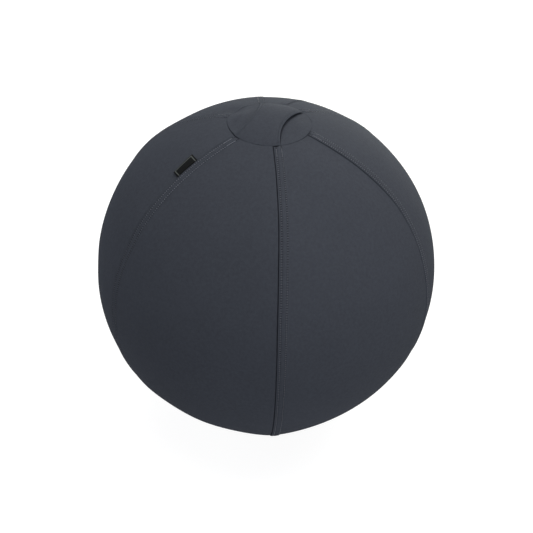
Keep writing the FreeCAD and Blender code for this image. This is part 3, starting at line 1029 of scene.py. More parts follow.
@dataclass
class Gore:
    """One cut piece of the cover, from the cap's rim to the base patch."""

    form: BallForm
    seam: SeamProfile
    zip_path: ZipPath
    number: int
    row_step: float = 0.003
    fine_step: float = 0.0006
    middle_columns: int = 56
    tack_count: int = 4
    pale_spread: float = 0.12
    pale_step: float = 2.4
    slack_fades: tuple[float, float] = (0.5, 0.4)
    wave_lengths: tuple[float, float] = (0.0130, 0.0071)
    wave_shares: tuple[float, float] = (0.6, 0.4)
    wave_height: float = 0.00022
    wave_inset: float = 0.020
    wave_reach: tuple[float, float] = (0.012, 0.014)
    right_wave: float = 0.6
    phase_step: float = 1.7
    second_phase: float = 2.3
    soft_height: float = 0.0005
    soft_length: float = 0.061
    soft_turns: float = 6.0
    band_past: float = 0.002
    columns_right: tuple[float, ...] = (0.008, 0.012, 0.018)
    fold_gore: int = 3
    fold_polar_deg: tuple[float, float] = (13.4, 23.3)
    fold_turn_deg: tuple[float, float] = (2.9, 1.2)
    fold_height: float = 0.0018
    fold_slopes: tuple[float, float] = (0.0026, 0.011)
    fold_start: tuple[float, float] = (-0.15, 0.3)
    fold_end: tuple[float, float] = (1.0, 0.8)
    fold_shadow_strength: float = 0.42
    fold_shadow_width: float = 0.0017

    @property
    def middle(self) -> float:
        """Azimuth of the gore's middle."""
        return self.form.seam_azimuth(self.number - 1) + self.form.half_gore

    def opening(self, side: Side, elevation: np.ndarray) -> np.ndarray:
        """How far the zip holds one edge of the gore off its seam."""
        return self.zip_path.opening(elevation) if self.beside_zip(side) else np.zeros_like(elevation)

    def turn(self, side: Side, distance: np.ndarray, elevation: np.ndarray) -> np.ndarray:
        """Turn from the gore's middle at a distance from one edge.

        Args:
            side: which edge.
            distance: from that edge.
            elevation: in radians.

        Returns:
            Turns in radians.
        """
        reach = (distance + self.opening(side, elevation)) / self.form.radius
        inward = np.arcsin(np.sin(reach) / np.cos(elevation))
        return side.value * (self.form.half_gore - inward)

    def to_seam(self, side: Side, elevation: np.ndarray, turn: np.ndarray) -> np.ndarray:
        """Distance to the seam at one edge."""
        away = np.sin(self.form.half_gore - side.value * turn)
        return self.form.radius * np.arcsin(np.cos(elevation) * away)

    def margins(self, elevation: np.ndarray, turn: np.ndarray) -> tuple[np.ndarray, ...]:
        """Distances to the gore's edges.

        Args:
            elevation: in radians.
            turn: from the gore's middle.

        Returns:
            To the left edge, right edge, cap and base patch.
        """
        form = self.form
        left, right = (self.to_seam(side, elevation, turn) - self.opening(side, elevation) for side in Side)
        return left, right, form.radius * (form.rim - elevation), form.radius * (elevation - form.foot)

    def relief(self, elevation: np.ndarray, turn: np.ndarray) -> tuple[np.ndarray, np.ndarray, np.ndarray]:
        """How far the sewn cloth stands out from the plain gore.

        Args:
            elevation: angle over the widest level.
            turn: angle from the gore's middle.

        Returns:
            Heights, painted shade of creases from 0 to 1, and nearness to stitches from 0 to 1.
        """
        seam = self.seam
        left, right, top, bottom = self.margins(elevation, turn)
        fold = self.side_sink(Side.LEFT, left, elevation, seam.fold)
        roll = self.side_sink(Side.RIGHT, right, elevation, seam.roll)
        side = np.maximum(fold, roll)
        pull = seam.rim_pull(self.azimuth(elevation, turn))
        cap = seam.rim_sink(top / np.maximum(1.0, seam.rim_widening * pull))
        foot = seam.rim_sink(bottom)
        sewn = self.sewn(left, right, elevation)
        lapped = 1.0 - self.zip_share(Side.LEFT, elevation)
        lapped = lapped * (seam.zip_lap if self.beside_zip(Side.LEFT) else 1.0)
        band = 1.0 - smooth((left - seam.band_width + seam.band_fade) / seam.band_fade)
        between = bell(left - sum(seam.rows) / 2.0, (seam.rows[1] - seam.rows[0]) / seam.puff_share)
        gaping = self.form.seam_open(self.seam_number(Side.LEFT), elevation)
        firm = np.minimum(1.0, seam.least_firm + gaping)
        height = (seam.band_height * band + seam.puff * between) * lapped * firm - seam.row_depth * sewn
        height += self.ripple(elevation, turn, left, right)
        sunk = np.maximum(seam.rim_ditch * foot, seam.rim_ditch * cap * np.minimum(pull, 1.0))
        flat = np.maximum(side, np.maximum(cap, foot))
        height = height * (1.0 - flat) - np.maximum(seam.ditch * side, sunk)
        # Painted shade in the seam ditches, painted shadow at the foot of the far fold, and painted shade in
        # the rim seams of cap and base patch.
        dark = np.maximum(smooth(2.0 * side - 1.0) * seam.ditch_shade, self.fold_shadow(elevation, turn))
        dark = np.maximum(dark, seam.rim_shade * np.maximum(cap * pull, foot))
        return height, np.clip(dark, 0.0, 1.0), sewn

    def seam_number(self, side: Side) -> int:
        """Number of the seam at one edge of the gore."""
        return self.number - (1 if side is Side.LEFT else 0)

    def side_sink(self, side: Side, distance: np.ndarray, elevation: np.ndarray, slope: float) -> np.ndarray:
        """Share of the ditch's full depth beside one edge.

        Args:
            side: which edge.
            distance: from that edge.
            elevation: in radians.
            slope: how gently the ditch begins.

        Returns:
            Shares from 0 to 1.
        """
        lapped = 1.0 - smooth((distance - self.seam.ditch_floor) / slope)
        lapped = lapped * self.form.seam_open(self.seam_number(side), elevation)
        zipped = 1.0 - smooth((distance - self.seam.zip_floor) / self.seam.zip_roll)
        share = self.zip_share(side, elevation)
        return lapped * (1.0 - share) + zipped * share

    def beside_zip(self, side: Side) -> bool:
        """Whether one edge of the gore lies on the zip's seam."""
        return self.seam_number(side) == self.zip_path.seam_number

    def zip_share(self, side: Side, elevation: np.ndarray) -> np.ndarray:
        """1 beside the zip and 0 where the edge is sewn to its neighbour."""
        return self.opening(side, elevation) / self.zip_path.slot_half

    def sewn(self, left: np.ndarray, right: np.ndarray, elevation: np.ndarray) -> np.ndarray:
        """Nearness to the gore's rows of stitches.

        Args:
            left: distances to the left edge.
            right: distances to the right edge.
            elevation: in radians.

        Returns:
            Shares from 0 to 1.
        """
        first, second = (bell(left - row, self.seam.row_width) for row in self.seam.rows)
        zipped = bell(right - self.seam.rows[0], self.seam.row_width) * self.zip_share(Side.RIGHT, elevation)
        return first + second * (1.0 - self.zip_share(Side.LEFT, elevation)) + zipped

    def ripple(
        self, elevation: np.ndarray, turn: np.ndarray, left: np.ndarray, right: np.ndarray
    ) -> np.ndarray:
        """Small waves where the stitching draws the knit in, and a fold beyond the strap's far end.

        Args:
            elevation: in radians.
            turn: from the gore's middle.
            left: distances to the left edge.
            right: distances to the right edge.

        Returns:
            Heights in metres.
        """
        along = elevation * self.form.radius
        phase = self.number * self.phase_step
        phases = (phase, self.second_phase * phase)
        wave = sum(share * np.sin(along / length + start)
                   for share, length, start in zip(self.wave_shares, self.wave_lengths, phases))
        near_left = np.exp(-np.abs(left - self.wave_inset) / self.wave_reach[0])
        near_right = np.exp(-np.abs(right) / self.wave_reach[1])
        drawn = self.wave_height * wave * (near_left + self.right_wave * near_right)
        soft = self.soft_height * np.sin(along / self.soft_length + phase)
        soft = soft * np.sin(turn * self.soft_turns + phase)
        aside, window = self.far_fold(elevation, turn)
        steep, gentle = (bell(aside, slope) for slope in self.fold_slopes)
        return drawn + soft + self.fold_height * window * np.where(aside < 0.0, steep, gentle)

    def far_fold(self, elevation: np.ndarray, turn: np.ndarray) -> tuple[np.ndarray, np.ndarray]:
        """Place of the short fold beyond the strap's far end.

        Args:
            elevation: in radians.
            turn: from the gore's middle.

        Returns:
            Distances from it, and its strength from 0 to 1.
        """
        top, bottom = self.fold_polar_deg
        share = (from_top_deg(elevation) - top) / (bottom - top)
        first, last = self.fold_turn_deg
        line = np.radians(first + (last - first) * share)
        aside = (turn - line) * np.cos(elevation) * self.form.radius
        rise, fall = (smooth((share - start) / span) for start, span in (self.fold_start, self.fold_end))
        return aside, rise * (1.0 - fall) * (1.0 if self.number == self.fold_gore else 0.0)

    def fold_shadow(self, elevation: np.ndarray, turn: np.ndarray) -> np.ndarray:
        """Painted shadow at the foot of that fold."""
        aside, window = self.far_fold(elevation, turn)
        return self.fold_shadow_strength * window * bell(aside + self.fold_slopes[0], self.fold_shadow_width)

    def azimuth(self, elevation: np.ndarray, turn: np.ndarray) -> np.ndarray:
        """Azimuths on the gore, drawn aside with its two seams.

        Args:
            elevation: in radians.
            turn: from the gore's middle.

        Returns:
            Azimuths in radians.
        """
        share = 0.5 + turn / (2.0 * self.form.half_gore)
        left = self.form.seam_drift(self.seam_number(Side.LEFT), elevation)
        right = self.form.seam_drift(self.seam_number(Side.RIGHT), elevation)
        return self.middle + turn + left * (1.0 - share) + right * share

    def points(self, elevation: np.ndarray, turn: np.ndarray, height: np.ndarray) -> np.ndarray:
        """Places on the gore, raised by a height.

        Args:
            elevation: in radians.
            turn: from the gore's middle.
            height: heights over the ball.

        Returns:
            Points in metres.
        """
        reach = self.form.gore_reach(elevation, turn) + height + self.slack(elevation, turn)
        azimuth = self.azimuth(elevation, turn)
        heading = self.form.heading(elevation - self.form.rim_lag(elevation, azimuth), azimuth)
        return self.form.centre + heading * reach[..., None]

    def slack(self, elevation: np.ndarray, turn: np.ndarray) -> np.ndarray:
        """How far this gore and its seams stand out more or less than the others.

        Args:
            elevation: in radians.
            turn: from the gore's middle.

        Returns:
            Heights in metres.
        """
        form = self.form
        seams = sum(form.seam_lifts[self.seam_number(side) % form.gore_count]
                    * bell(self.to_seam(side, elevation, turn), form.lift_width) for side in Side)
        fill = form.gore_fills[self.number - 1] * np.cos(turn / form.half_gore * math.pi / 2.0) ** 2
        upper, lower = self.slack_fades
        window = smooth((form.rim - elevation) / upper) * smooth((elevation - form.foot) / lower)
        return (seams + fill) * window + form.swell(elevation, self.middle + turn)

    def levels(self) -> np.ndarray:
        """Elevations of the mesh's rows, closer together at both ends.

        Returns:
            Elevations in radians.
        """
        form = self.form
        length = form.radius * (form.rim - form.foot)
        ends = np.arange(0.0, self.seam.fine_reach, self.fine_step / 2.0)
        inner = np.linspace(ends[-1], length - ends[-1], int(length / self.row_step))[1:-1]
        return form.foot + np.concatenate((ends, inner, length - ends[::-1])) / form.radius

    def turns(self, elevation: np.ndarray) -> np.ndarray:
        """Turns of the mesh's columns at each level, closer together beside the seams.

        Args:
            elevation: in radians.

        Returns:
            Turns in radians.
        """
        level = elevation[:, None]
        edge = np.arange(0.0, self.seam.fine_reach, self.fine_step / 2.0)
        band = np.arange(edge[-1], self.seam.band_width + self.band_past, self.fine_step)[1:]
        row = np.arange(edge[-1], self.seam.rows[0] * self.seam.fine_share, self.fine_step)[1:]
        near_left = np.concatenate((edge, band))
        near_right = np.concatenate((edge, row, self.columns_right))
        left = self.turn(Side.LEFT, near_left[None, :], level)
        right = self.turn(Side.RIGHT, near_right[None, ::-1], level)
        share = np.linspace(0.0, 1.0, self.middle_columns + 2)[None, 1:-1]
        middle = left[:, -1:] * (1.0 - share) + right[:, :1] * share
        return np.concatenate((left, middle, right), axis=1)

    def build(self, finish: bpy.types.Material) -> bpy.types.Object:
        """Args:
            finish: the cover's material.

        Returns:
            The piece.
        """
        form = self.form
        levels = self.levels()
        turn = self.turns(levels)
        elevation = np.broadcast_to(levels[:, None], turn.shape)
        height, crease_shade, sewn = self.relief(elevation, turn)
        across = form.radius * np.cos(elevation) * turn
        cloth = np.stack((across, form.radius * elevation), axis=-1)
        draft = MeshDraft()
        outer = draft.add(self.points(elevation, turn, height), cloth, crease_shade, sewn)
        inner = draft.add(self.points(elevation, turn, np.full_like(height, -form.fabric)), cloth, crease_shade)
        draft.shell(outer, inner)
        name = f"gore_{self.number}"
        piece = place(name, draft.build(name), finish)
        attach(piece, Body.BALL, [f"cover_panel_{self.number}"])
        widths = across.max(axis=1) - across.min(axis=1)
        length = form.radius * (form.rim - form.foot)
        along = form.radius * levels
        area = float(np.sum((widths[1:] + widths[:-1]) / 2.0 * np.diff(along)))
        return piece

    def sewn_row(
        self, side: Side, distance: float, pitch: float, zipped: Optional[bool] = None
    ) -> "StitchRow":
        """Row of stitches at a distance from one edge, between the needle's holes in the cloth.

        Args:
            side: the edge that the row follows.
            distance: its way in from that edge.
            pitch: way from stitch to stitch.
            zipped: True for the part beside the zip alone, False for the rest alone.

        Returns:
            The row.
        """
        form = self.form
        lowest = math.ceil(form.foot * form.radius / pitch) + 1
        numbers = np.arange(lowest, math.floor(form.rim * form.radius / pitch) - 1)
        elevation = (numbers + 0.5) * pitch / form.radius
        turn = self.turn(side, np.full_like(elevation, distance), elevation)
        height, _, _ = self.relief(elevation, turn)
        beside = self.zip_share(side, elevation) > 0.5
        kept = np.ones_like(beside) if zipped is None else beside == zipped
        outward = form.heading(elevation, self.azimuth(elevation, turn))
        row = int(distance > self.seam.rows[0])
        # Painted highlight of each stitch: the row's value with an uneven part from stitch to stitch.
        uneven = self.pale_spread * np.sin(numbers * self.pale_step + row)
        pale = form.row_highlight(self.seam_number(side), row, elevation) + uneven
        return StitchRow(self.points(elevation, turn, height)[kept], outward[kept], pale[kept])

    def sewn_rows(self, pitch: float) -> list["StitchRow"]:
        """All rows of stitches on the gore.

        Args:
            pitch: length of one stitch.

        Returns:
            The rows.
        """
        first, second = self.seam.rows
        rows = [self.sewn_row(Side.LEFT, first, pitch)]
        if self.beside_zip(Side.LEFT):
            whole = self.sewn_row(Side.LEFT, second, pitch, zipped=False)
            rows += whole.split()
        else:
            rows.append(self.sewn_row(Side.LEFT, second, pitch))
        tacks = [row.tack(self.tack_count) for row in rows]
        if self.beside_zip(Side.RIGHT):
            rows.append(self.sewn_row(Side.RIGHT, first, pitch, zipped=True))
        return rows + tacks


@dataclass
class StitchRow:
    """Line that stitches follow, with the way out of the cloth and each stitch's painted highlight along it.
    """

    points: np.ndarray
    outward: np.ndarray
    pale: np.ndarray
    tack_rise: float = 0.0004
    tack_highlight: float = 1.3

    def tack(self, count: int) -> "StitchRow":
        """Stitches sewn back over the row's upper end, between its own, with a stronger painted highlight.

        Args:
            count: how many stitches.

        Returns:
            The added row.
        """
        points = (self.points[-count - 1:-1] + self.points[-count:]) / 2.0
        outward = self.outward[-count:]
        return StitchRow(points + outward * self.tack_rise, outward, self.pale[-count:] * self.tack_highlight)

    def split(self) -> list["StitchRow"]:
        """The two rows on either side of a gap.

        Returns:
            The rows.
        """
        steps = np.linalg.norm(np.diff(self.points, axis=0), axis=1)
        cut = int(np.argmax(steps)) + 1
        parts = (slice(None, cut), slice(cut, None))
        return [StitchRow(self.points[part], self.outward[part], self.pale[part]) for part in parts]


class Repeat(Graph):
    """Geometry Nodes that set one small shape along rows or on points."""

    def __init__(self, name: str, sizes: Mapping[str, float]) -> None:
        """Starts a tree with its named inputs.

        Args:
            name: the tree's name.
            sizes: named lengths and their values.
        """
        super().__init__(bpy.data.node_groups.new(name, "GeometryNodeTree"))
        self.sizes = dict(sizes)
        face = self.tree.interface
        face.new_socket("Geometry", in_out="INPUT", socket_type="NodeSocketGeometry")
        for label_text in self.sizes:
            face.new_socket(label_text, in_out="INPUT", socket_type="NodeSocketFloat")
        face.new_socket("Finish", in_out="INPUT", socket_type="NodeSocketMaterial")
        face.new_socket("Geometry", in_out="OUTPUT", socket_type="NodeSocketGeometry")
        self.given = self.add("NodeGroupInput").outputs

    def set_out(self, points: Any, shape: Any, turn: Any) -> None:
        """Sets the shape on the points, makes it real and closes the tree.

        Args:
            points: where it stands.
            shape: what is repeated.
            turn: how it is turned.
        """
        copies = self.add("GeometryNodeInstanceOnPoints", {}, {
            "Points": points, "Instance": shape, "Rotation": turn})
        real = self.add("GeometryNodeRealizeInstances", {}, {"Geometry": copies.outputs[0]})
        soft = self.add("GeometryNodeSetShadeSmooth", {}, {"Geometry": real.outputs[0]})
        dressed = self.add("GeometryNodeSetMaterial", {}, {
            "Geometry": soft.outputs[0], "Material": self.given["Finish"]})
        self.add("NodeGroupOutput", {}, {"Geometry": dressed.outputs[0]})

    def outward(self) -> bpy.types.NodeSocket:
        """Way out of the cloth, stored on the points."""
        node = self.add("GeometryNodeInputNamedAttribute", {"data_type": "FLOAT_VECTOR"}, {"Name": OUTWARD})
        return node.outputs[0]

    def grow(self, name: str, carrier: bpy.types.Mesh, finish: bpy.types.Material) -> bpy.types.Object:
        """Runs the tree on a carrier mesh.

        Args:
            name: the new piece's name.
            carrier: rows or points with their outward attribute.
            finish: the repeated shape's material.

        Returns:
            A plain mesh object.
        """
        holder = bpy.data.objects.new(name + "_carrier", carrier)
        bpy.context.scene.collection.objects.link(holder)
        modifier = holder.modifiers.new("repeat", "NODES")
        modifier.node_group = self.tree
        values = {**self.sizes, "Finish": finish}
        for item in self.tree.interface.items_tree:
            if item.in_out == "INPUT" and item.name in values:
                modifier[item.identifier] = values[item.name]
        graph = bpy.context.evaluated_depsgraph_get()
        mesh = bpy.data.meshes.new_from_object(holder.evaluated_get(graph))
        holder.modifiers.remove(modifier)
        bpy.data.objects.remove(holder)
        mesh.name = name
        return place(name, mesh, finish)


@dataclass(frozen=True)
class Needlework:
    """Thread of the cover's visible rows."""

    pitch: float = STITCH_PITCH
    stitch: float = 0.0024
    thread: float = 0.0010
    rise: float = 0.0005
    sink: float = 0.0003

    def tree(self) -> Repeat:
        """Builds the tree that lays arched stitches along rows.

        Returns:
            The tree.
        """
        sizes = {"Stitch": self.stitch, "Thread": self.thread, "Rise": self.rise, "Sink": self.sink}
        repeat = Repeat("stitches", sizes)
        given = repeat.given
        row = repeat.add("GeometryNodeMeshToCurve", {}, {"Mesh": given["Geometry"]})
        half = Term(repeat, given["Stitch"]) * 0.5
        low = Term(repeat, given["Sink"]) * -1.0
        ends = [repeat.add("ShaderNodeCombineXYZ", {}, {"X": half * side.value, "Z": low}) for side in Side]
        crown = repeat.add("ShaderNodeCombineXYZ", {}, {"Z": Term(repeat, given["Rise"]) * 2.0})
        arch = repeat.add("GeometryNodeCurveQuadraticBezier", {}, {
            "Resolution": 4, "Start": ends[0].outputs[0], "Middle": crown.outputs[0],
            "End": ends[1].outputs[0]})
        section = repeat.add("GeometryNodeCurvePrimitiveCircle", {"mode": "RADIUS"},
                             {"Resolution": 6, "Radius": Term(repeat, given["Thread"]) * 0.5})
        thread = repeat.add("GeometryNodeCurveToMesh", {}, {
            "Curve": arch.outputs[0], "Profile Curve": section.outputs[0], "Fill Caps": True})
        tangent = repeat.add("GeometryNodeInputTangent").outputs[0]
        turn = repeat.add("FunctionNodeAxesToRotation", {"primary_axis": "Z", "secondary_axis": "X"},
                          {"Primary Axis": repeat.outward(), "Secondary Axis": tangent})
        repeat.set_out(row.outputs[0], thread.outputs[0], turn.outputs[0])
        return repeat

    @staticmethod
    def carrier(name: str, rows: Sequence[StitchRow]) -> bpy.types.Mesh:
        """Joins rows into one mesh of edges with the way out of the cloth and the painted highlight on each
        point.

        Args:
            name: the mesh's name.
            rows: the rows.

        Returns:
            The mesh.
        """
        starts = np.concatenate(([0], np.cumsum([len(row.points) for row in rows])))
        spans = zip(starts[:-1], starts[1:])
        edges = [(number, number + 1) for first, last in spans for number in range(first, last - 1)]
        mesh = bpy.data.meshes.new(name)
        mesh.from_pydata(np.concatenate([row.points for row in rows]).tolist(), edges, [])
        ways = np.concatenate([row.outward for row in rows]).astype(np.float32)
        outward = mesh.attributes.new(OUTWARD, "FLOAT_VECTOR", "POINT")
        outward.data.foreach_set("vector", ways.ravel())
        highlights = np.concatenate([row.pale for row in rows]).astype(np.float32)
        pale = mesh.attributes.new(THREAD_HIGHLIGHT, "FLOAT", "POINT")
        pale.data.foreach_set("value", highlights)
        return mesh


@dataclass
class Cover:
    """The sewn cover: six gores, round cap, grippy base patch and the visible stitching."""

    form: BallForm
    zip_path: ZipPath
    knit: bpy.types.Material
    thread: bpy.types.Material
    grip: bpy.types.Material
    dots: bpy.types.Material
    seam: SeamProfile = field(default_factory=SeamProfile)
    needle: Needlework = field(default_factory=Needlework)
    segments: int = 192
    ring_step: float = 0.0025
    base_rise: float = 0.0006
    dot_pitch: float = 0.0075
    dot_radius: float = 0.0017
    dot_field: float = 0.101
    dot_top: float = 0.55
    edge_step: float = 0.0003
    base_sink: float = 0.8
    stray_power: int = 3
    puff_power: int = 8
    cap_puffs: tuple[tuple[float, ...], ...] = (
        (-0.051, -0.006, 0.012, 0.024, 0.0042),
        (-0.037, -0.028, 0.006, 0.020, -0.0014),
        (0.053, 0.006, 0.012, 0.026, 0.0020),
    )

    def build(self) -> None:
        """Builds all pieces of the cover."""
        numbers = range(1, self.form.gore_count + 1)
        gores = [Gore(self.form, self.seam, self.zip_path, number) for number in numbers]
        for gore in gores:
            gore.build(self.knit)
        self.cap()
        self.base()
        self.grip_dots()
        self.stitching(gores)

    def disc(
        self, name: str, reach: np.ndarray, outer: np.ndarray, inner: np.ndarray, crease_shade: np.ndarray
    ) -> bpy.types.Mesh:
        """Round thin piece from heights at growing distances from the upright axis.

        Args:
            name: the mesh's name.
            reach: distances of the rings at each turn, none of them 0.
            outer: heights of the outer face at each ring and turn, with the middle's first.
            inner: heights of the inner face at each ring and turn, with the middle's first.
            crease_shade: painted shade in folds at each ring and turn.

        Returns:
            The closed mesh.
        """
        angle = np.arange(self.segments) * (math.tau / self.segments)
        plan = np.stack((np.cos(angle), np.sin(angle)), axis=-1)[None] * reach[..., None]
        draft = MeshDraft()
        rings = []
        for heights, flip in ((outer, False), (inner, True)):
            level = np.broadcast_to(heights[1:], plan.shape[:2])[..., None]
            rings.append(draft.add(np.concatenate((plan, level), axis=-1), plan, crease_shade))
            middle = draft.add(np.array([[0.0, 0.0, heights[0, 0]]]), np.zeros((1, 2)))
            draft.fan(int(middle[0]), rings[-1][0], flip)
            draft.grid(rings[-1], not flip, wrap=True)
        draft.grid(np.stack((rings[0][-1], rings[1][-1])), True, wrap=True)
        return draft.build(name)

    def rings(self, edge: float) -> np.ndarray:
        """Distances of a round piece's rings, closer together at its edge.

        Args:
            edge: the edge's radius.

        Returns:
            Distances from the middle.
        """
        fine = np.arange(0.0, self.seam.fine_reach, self.edge_step)
        open_part = np.linspace(0.0, edge - fine[-1], int(edge / self.ring_step))[1:-1]
        return np.concatenate((open_part, edge - fine[::-1]))

    def puffed(self, x: np.ndarray, y: np.ndarray) -> np.ndarray:
        """How far the cap swells between the strap and its rim."""
        return sum(tall * bell(x - middle_x, half_x) * bell(y - middle_y, half_y)
                   for middle_x, middle_y, half_x, half_y, tall in self.cap_puffs)

    def cap(self) -> None:
        """Round cap under the strap, drawn down into its rim seam."""
        form = self.form
        even = np.concatenate(([0.0], self.rings(form.cap_radius)))[:, None]
        angle = np.arange(self.segments)[None, :] * (math.tau / self.segments)
        azimuth = angle + math.pi / 2.0
        share = even / form.cap_radius
        out = even + form.rim_stray(azimuth) * share ** self.stray_power
        sink = self.seam.rim_sink(form.cap_radius - even)
        pull = self.seam.rim_pull(azimuth)
        puff = self.puffed(out * np.cos(angle), out * np.sin(angle)) * (1.0 - share ** self.puff_power)
        face = form.cap_height(out, 0.0) + puff + form.swell(np.arccos(out / form.radius), azimuth)
        sunk = sink * self.seam.rim_ditch * np.minimum(pull, 1.0)
        # Painted shade in the rim seam, stronger where it gapes.
        crease_shade = np.clip(sink * self.seam.rim_shade * pull, 0.0, 1.0)
        mesh = self.disc("cap", out[1:], face - sunk, face - form.fabric, crease_shade[1:])
        piece = attach(place("cap", mesh, self.knit), Body.BALL, ["top_cap"])

    def base_face(self, reach: np.ndarray) -> np.ndarray:
        """Height of the base patch under its dots.

        Args:
            reach: distances from the middle.

        Returns:
            Heights in metres.
        """
        form = self.form
        bowl = form.centre[2] - np.sqrt(form.radius ** 2 - reach ** 2)
        return np.maximum(bowl, 0.0) + self.base_rise

    def base(self) -> None:
        """Patch under the ball, flat where it stands."""
        form = self.form
        reach = self.rings(form.base_radius)
        sink = self.seam.rim_sink(form.base_radius - reach)
        face = self.base_face(np.concatenate(([0.0], reach)))[:, None]
        thick = form.fabric - self.base_rise
        sunk = np.concatenate(([0.0], sink))[:, None] * thick * self.base_sink
        # The patch's rim seam gets painted shade as deep as it sinks.
        mesh = self.disc("base_patch", reach[:, None], face + sunk, face + thick, sink[:, None])
        piece = attach(place("base_patch", mesh, self.grip), Body.BALL, ["base_cap"])

    def grip_dots(self) -> None:
        """Rows of small rubber dots on the base patch."""
        form = self.form
        count = int(self.dot_field / self.dot_pitch) + 1
        steps = np.arange(-count, count + 1)
        row, column = np.meshgrid(steps, steps, indexing="ij")
        x = (column + 0.5 * (row % 2)).ravel() * self.dot_pitch
        y = row.ravel() * self.dot_pitch * math.sqrt(3.0) / 2.0
        reach = np.hypot(x, y)
        kept = reach < self.dot_field
        x, y, reach = x[kept], y[kept], reach[kept]
        points = np.stack((x, y, self.base_face(reach)), axis=-1)
        outward = points - form.centre
        outward[reach < form.contact] = -UP
        outward /= np.linalg.norm(outward, axis=1, keepdims=True)
        repeat = Repeat("grip_dots", {"Foot": self.dot_radius, "Height": self.base_rise})
        foot = Term(repeat, repeat.given["Foot"])
        dot = repeat.add("GeometryNodeMeshCone", {"fill_type": "NGON"}, {
            "Vertices": 12, "Side Segments": 2, "Radius Top": foot * self.dot_top, "Radius Bottom": foot,
            "Depth": repeat.given["Height"]})
        turn = repeat.add("FunctionNodeAlignRotationToVector", {"axis": "Z"}, {"Vector": repeat.outward()})
        carrier = Needlework.carrier("grip_points", [StitchRow(points, outward, np.zeros_like(reach))])
        spots = repeat.add("GeometryNodeMeshToPoints", {"mode": "VERTICES"}, {
            "Mesh": repeat.given["Geometry"]})
        repeat.set_out(spots.outputs[0], dot.outputs[0], turn.outputs[0])
        attach(repeat.grow("grip_dots", carrier, self.dots), Body.BALL)

    def stitching(self, gores: Sequence[Gore]) -> None:
        """Two rows on each seam's allowance and one on each side of the zip's seam.

        Args:
            gores: the six gores.
        """
        rows = [row for gore in gores for row in gore.sewn_rows(self.needle.pitch)]
        carrier = self.needle.carrier("seam_rows", rows)
        attach(self.needle.tree().grow("seam_stitches", carrier, self.thread), Body.BALL)


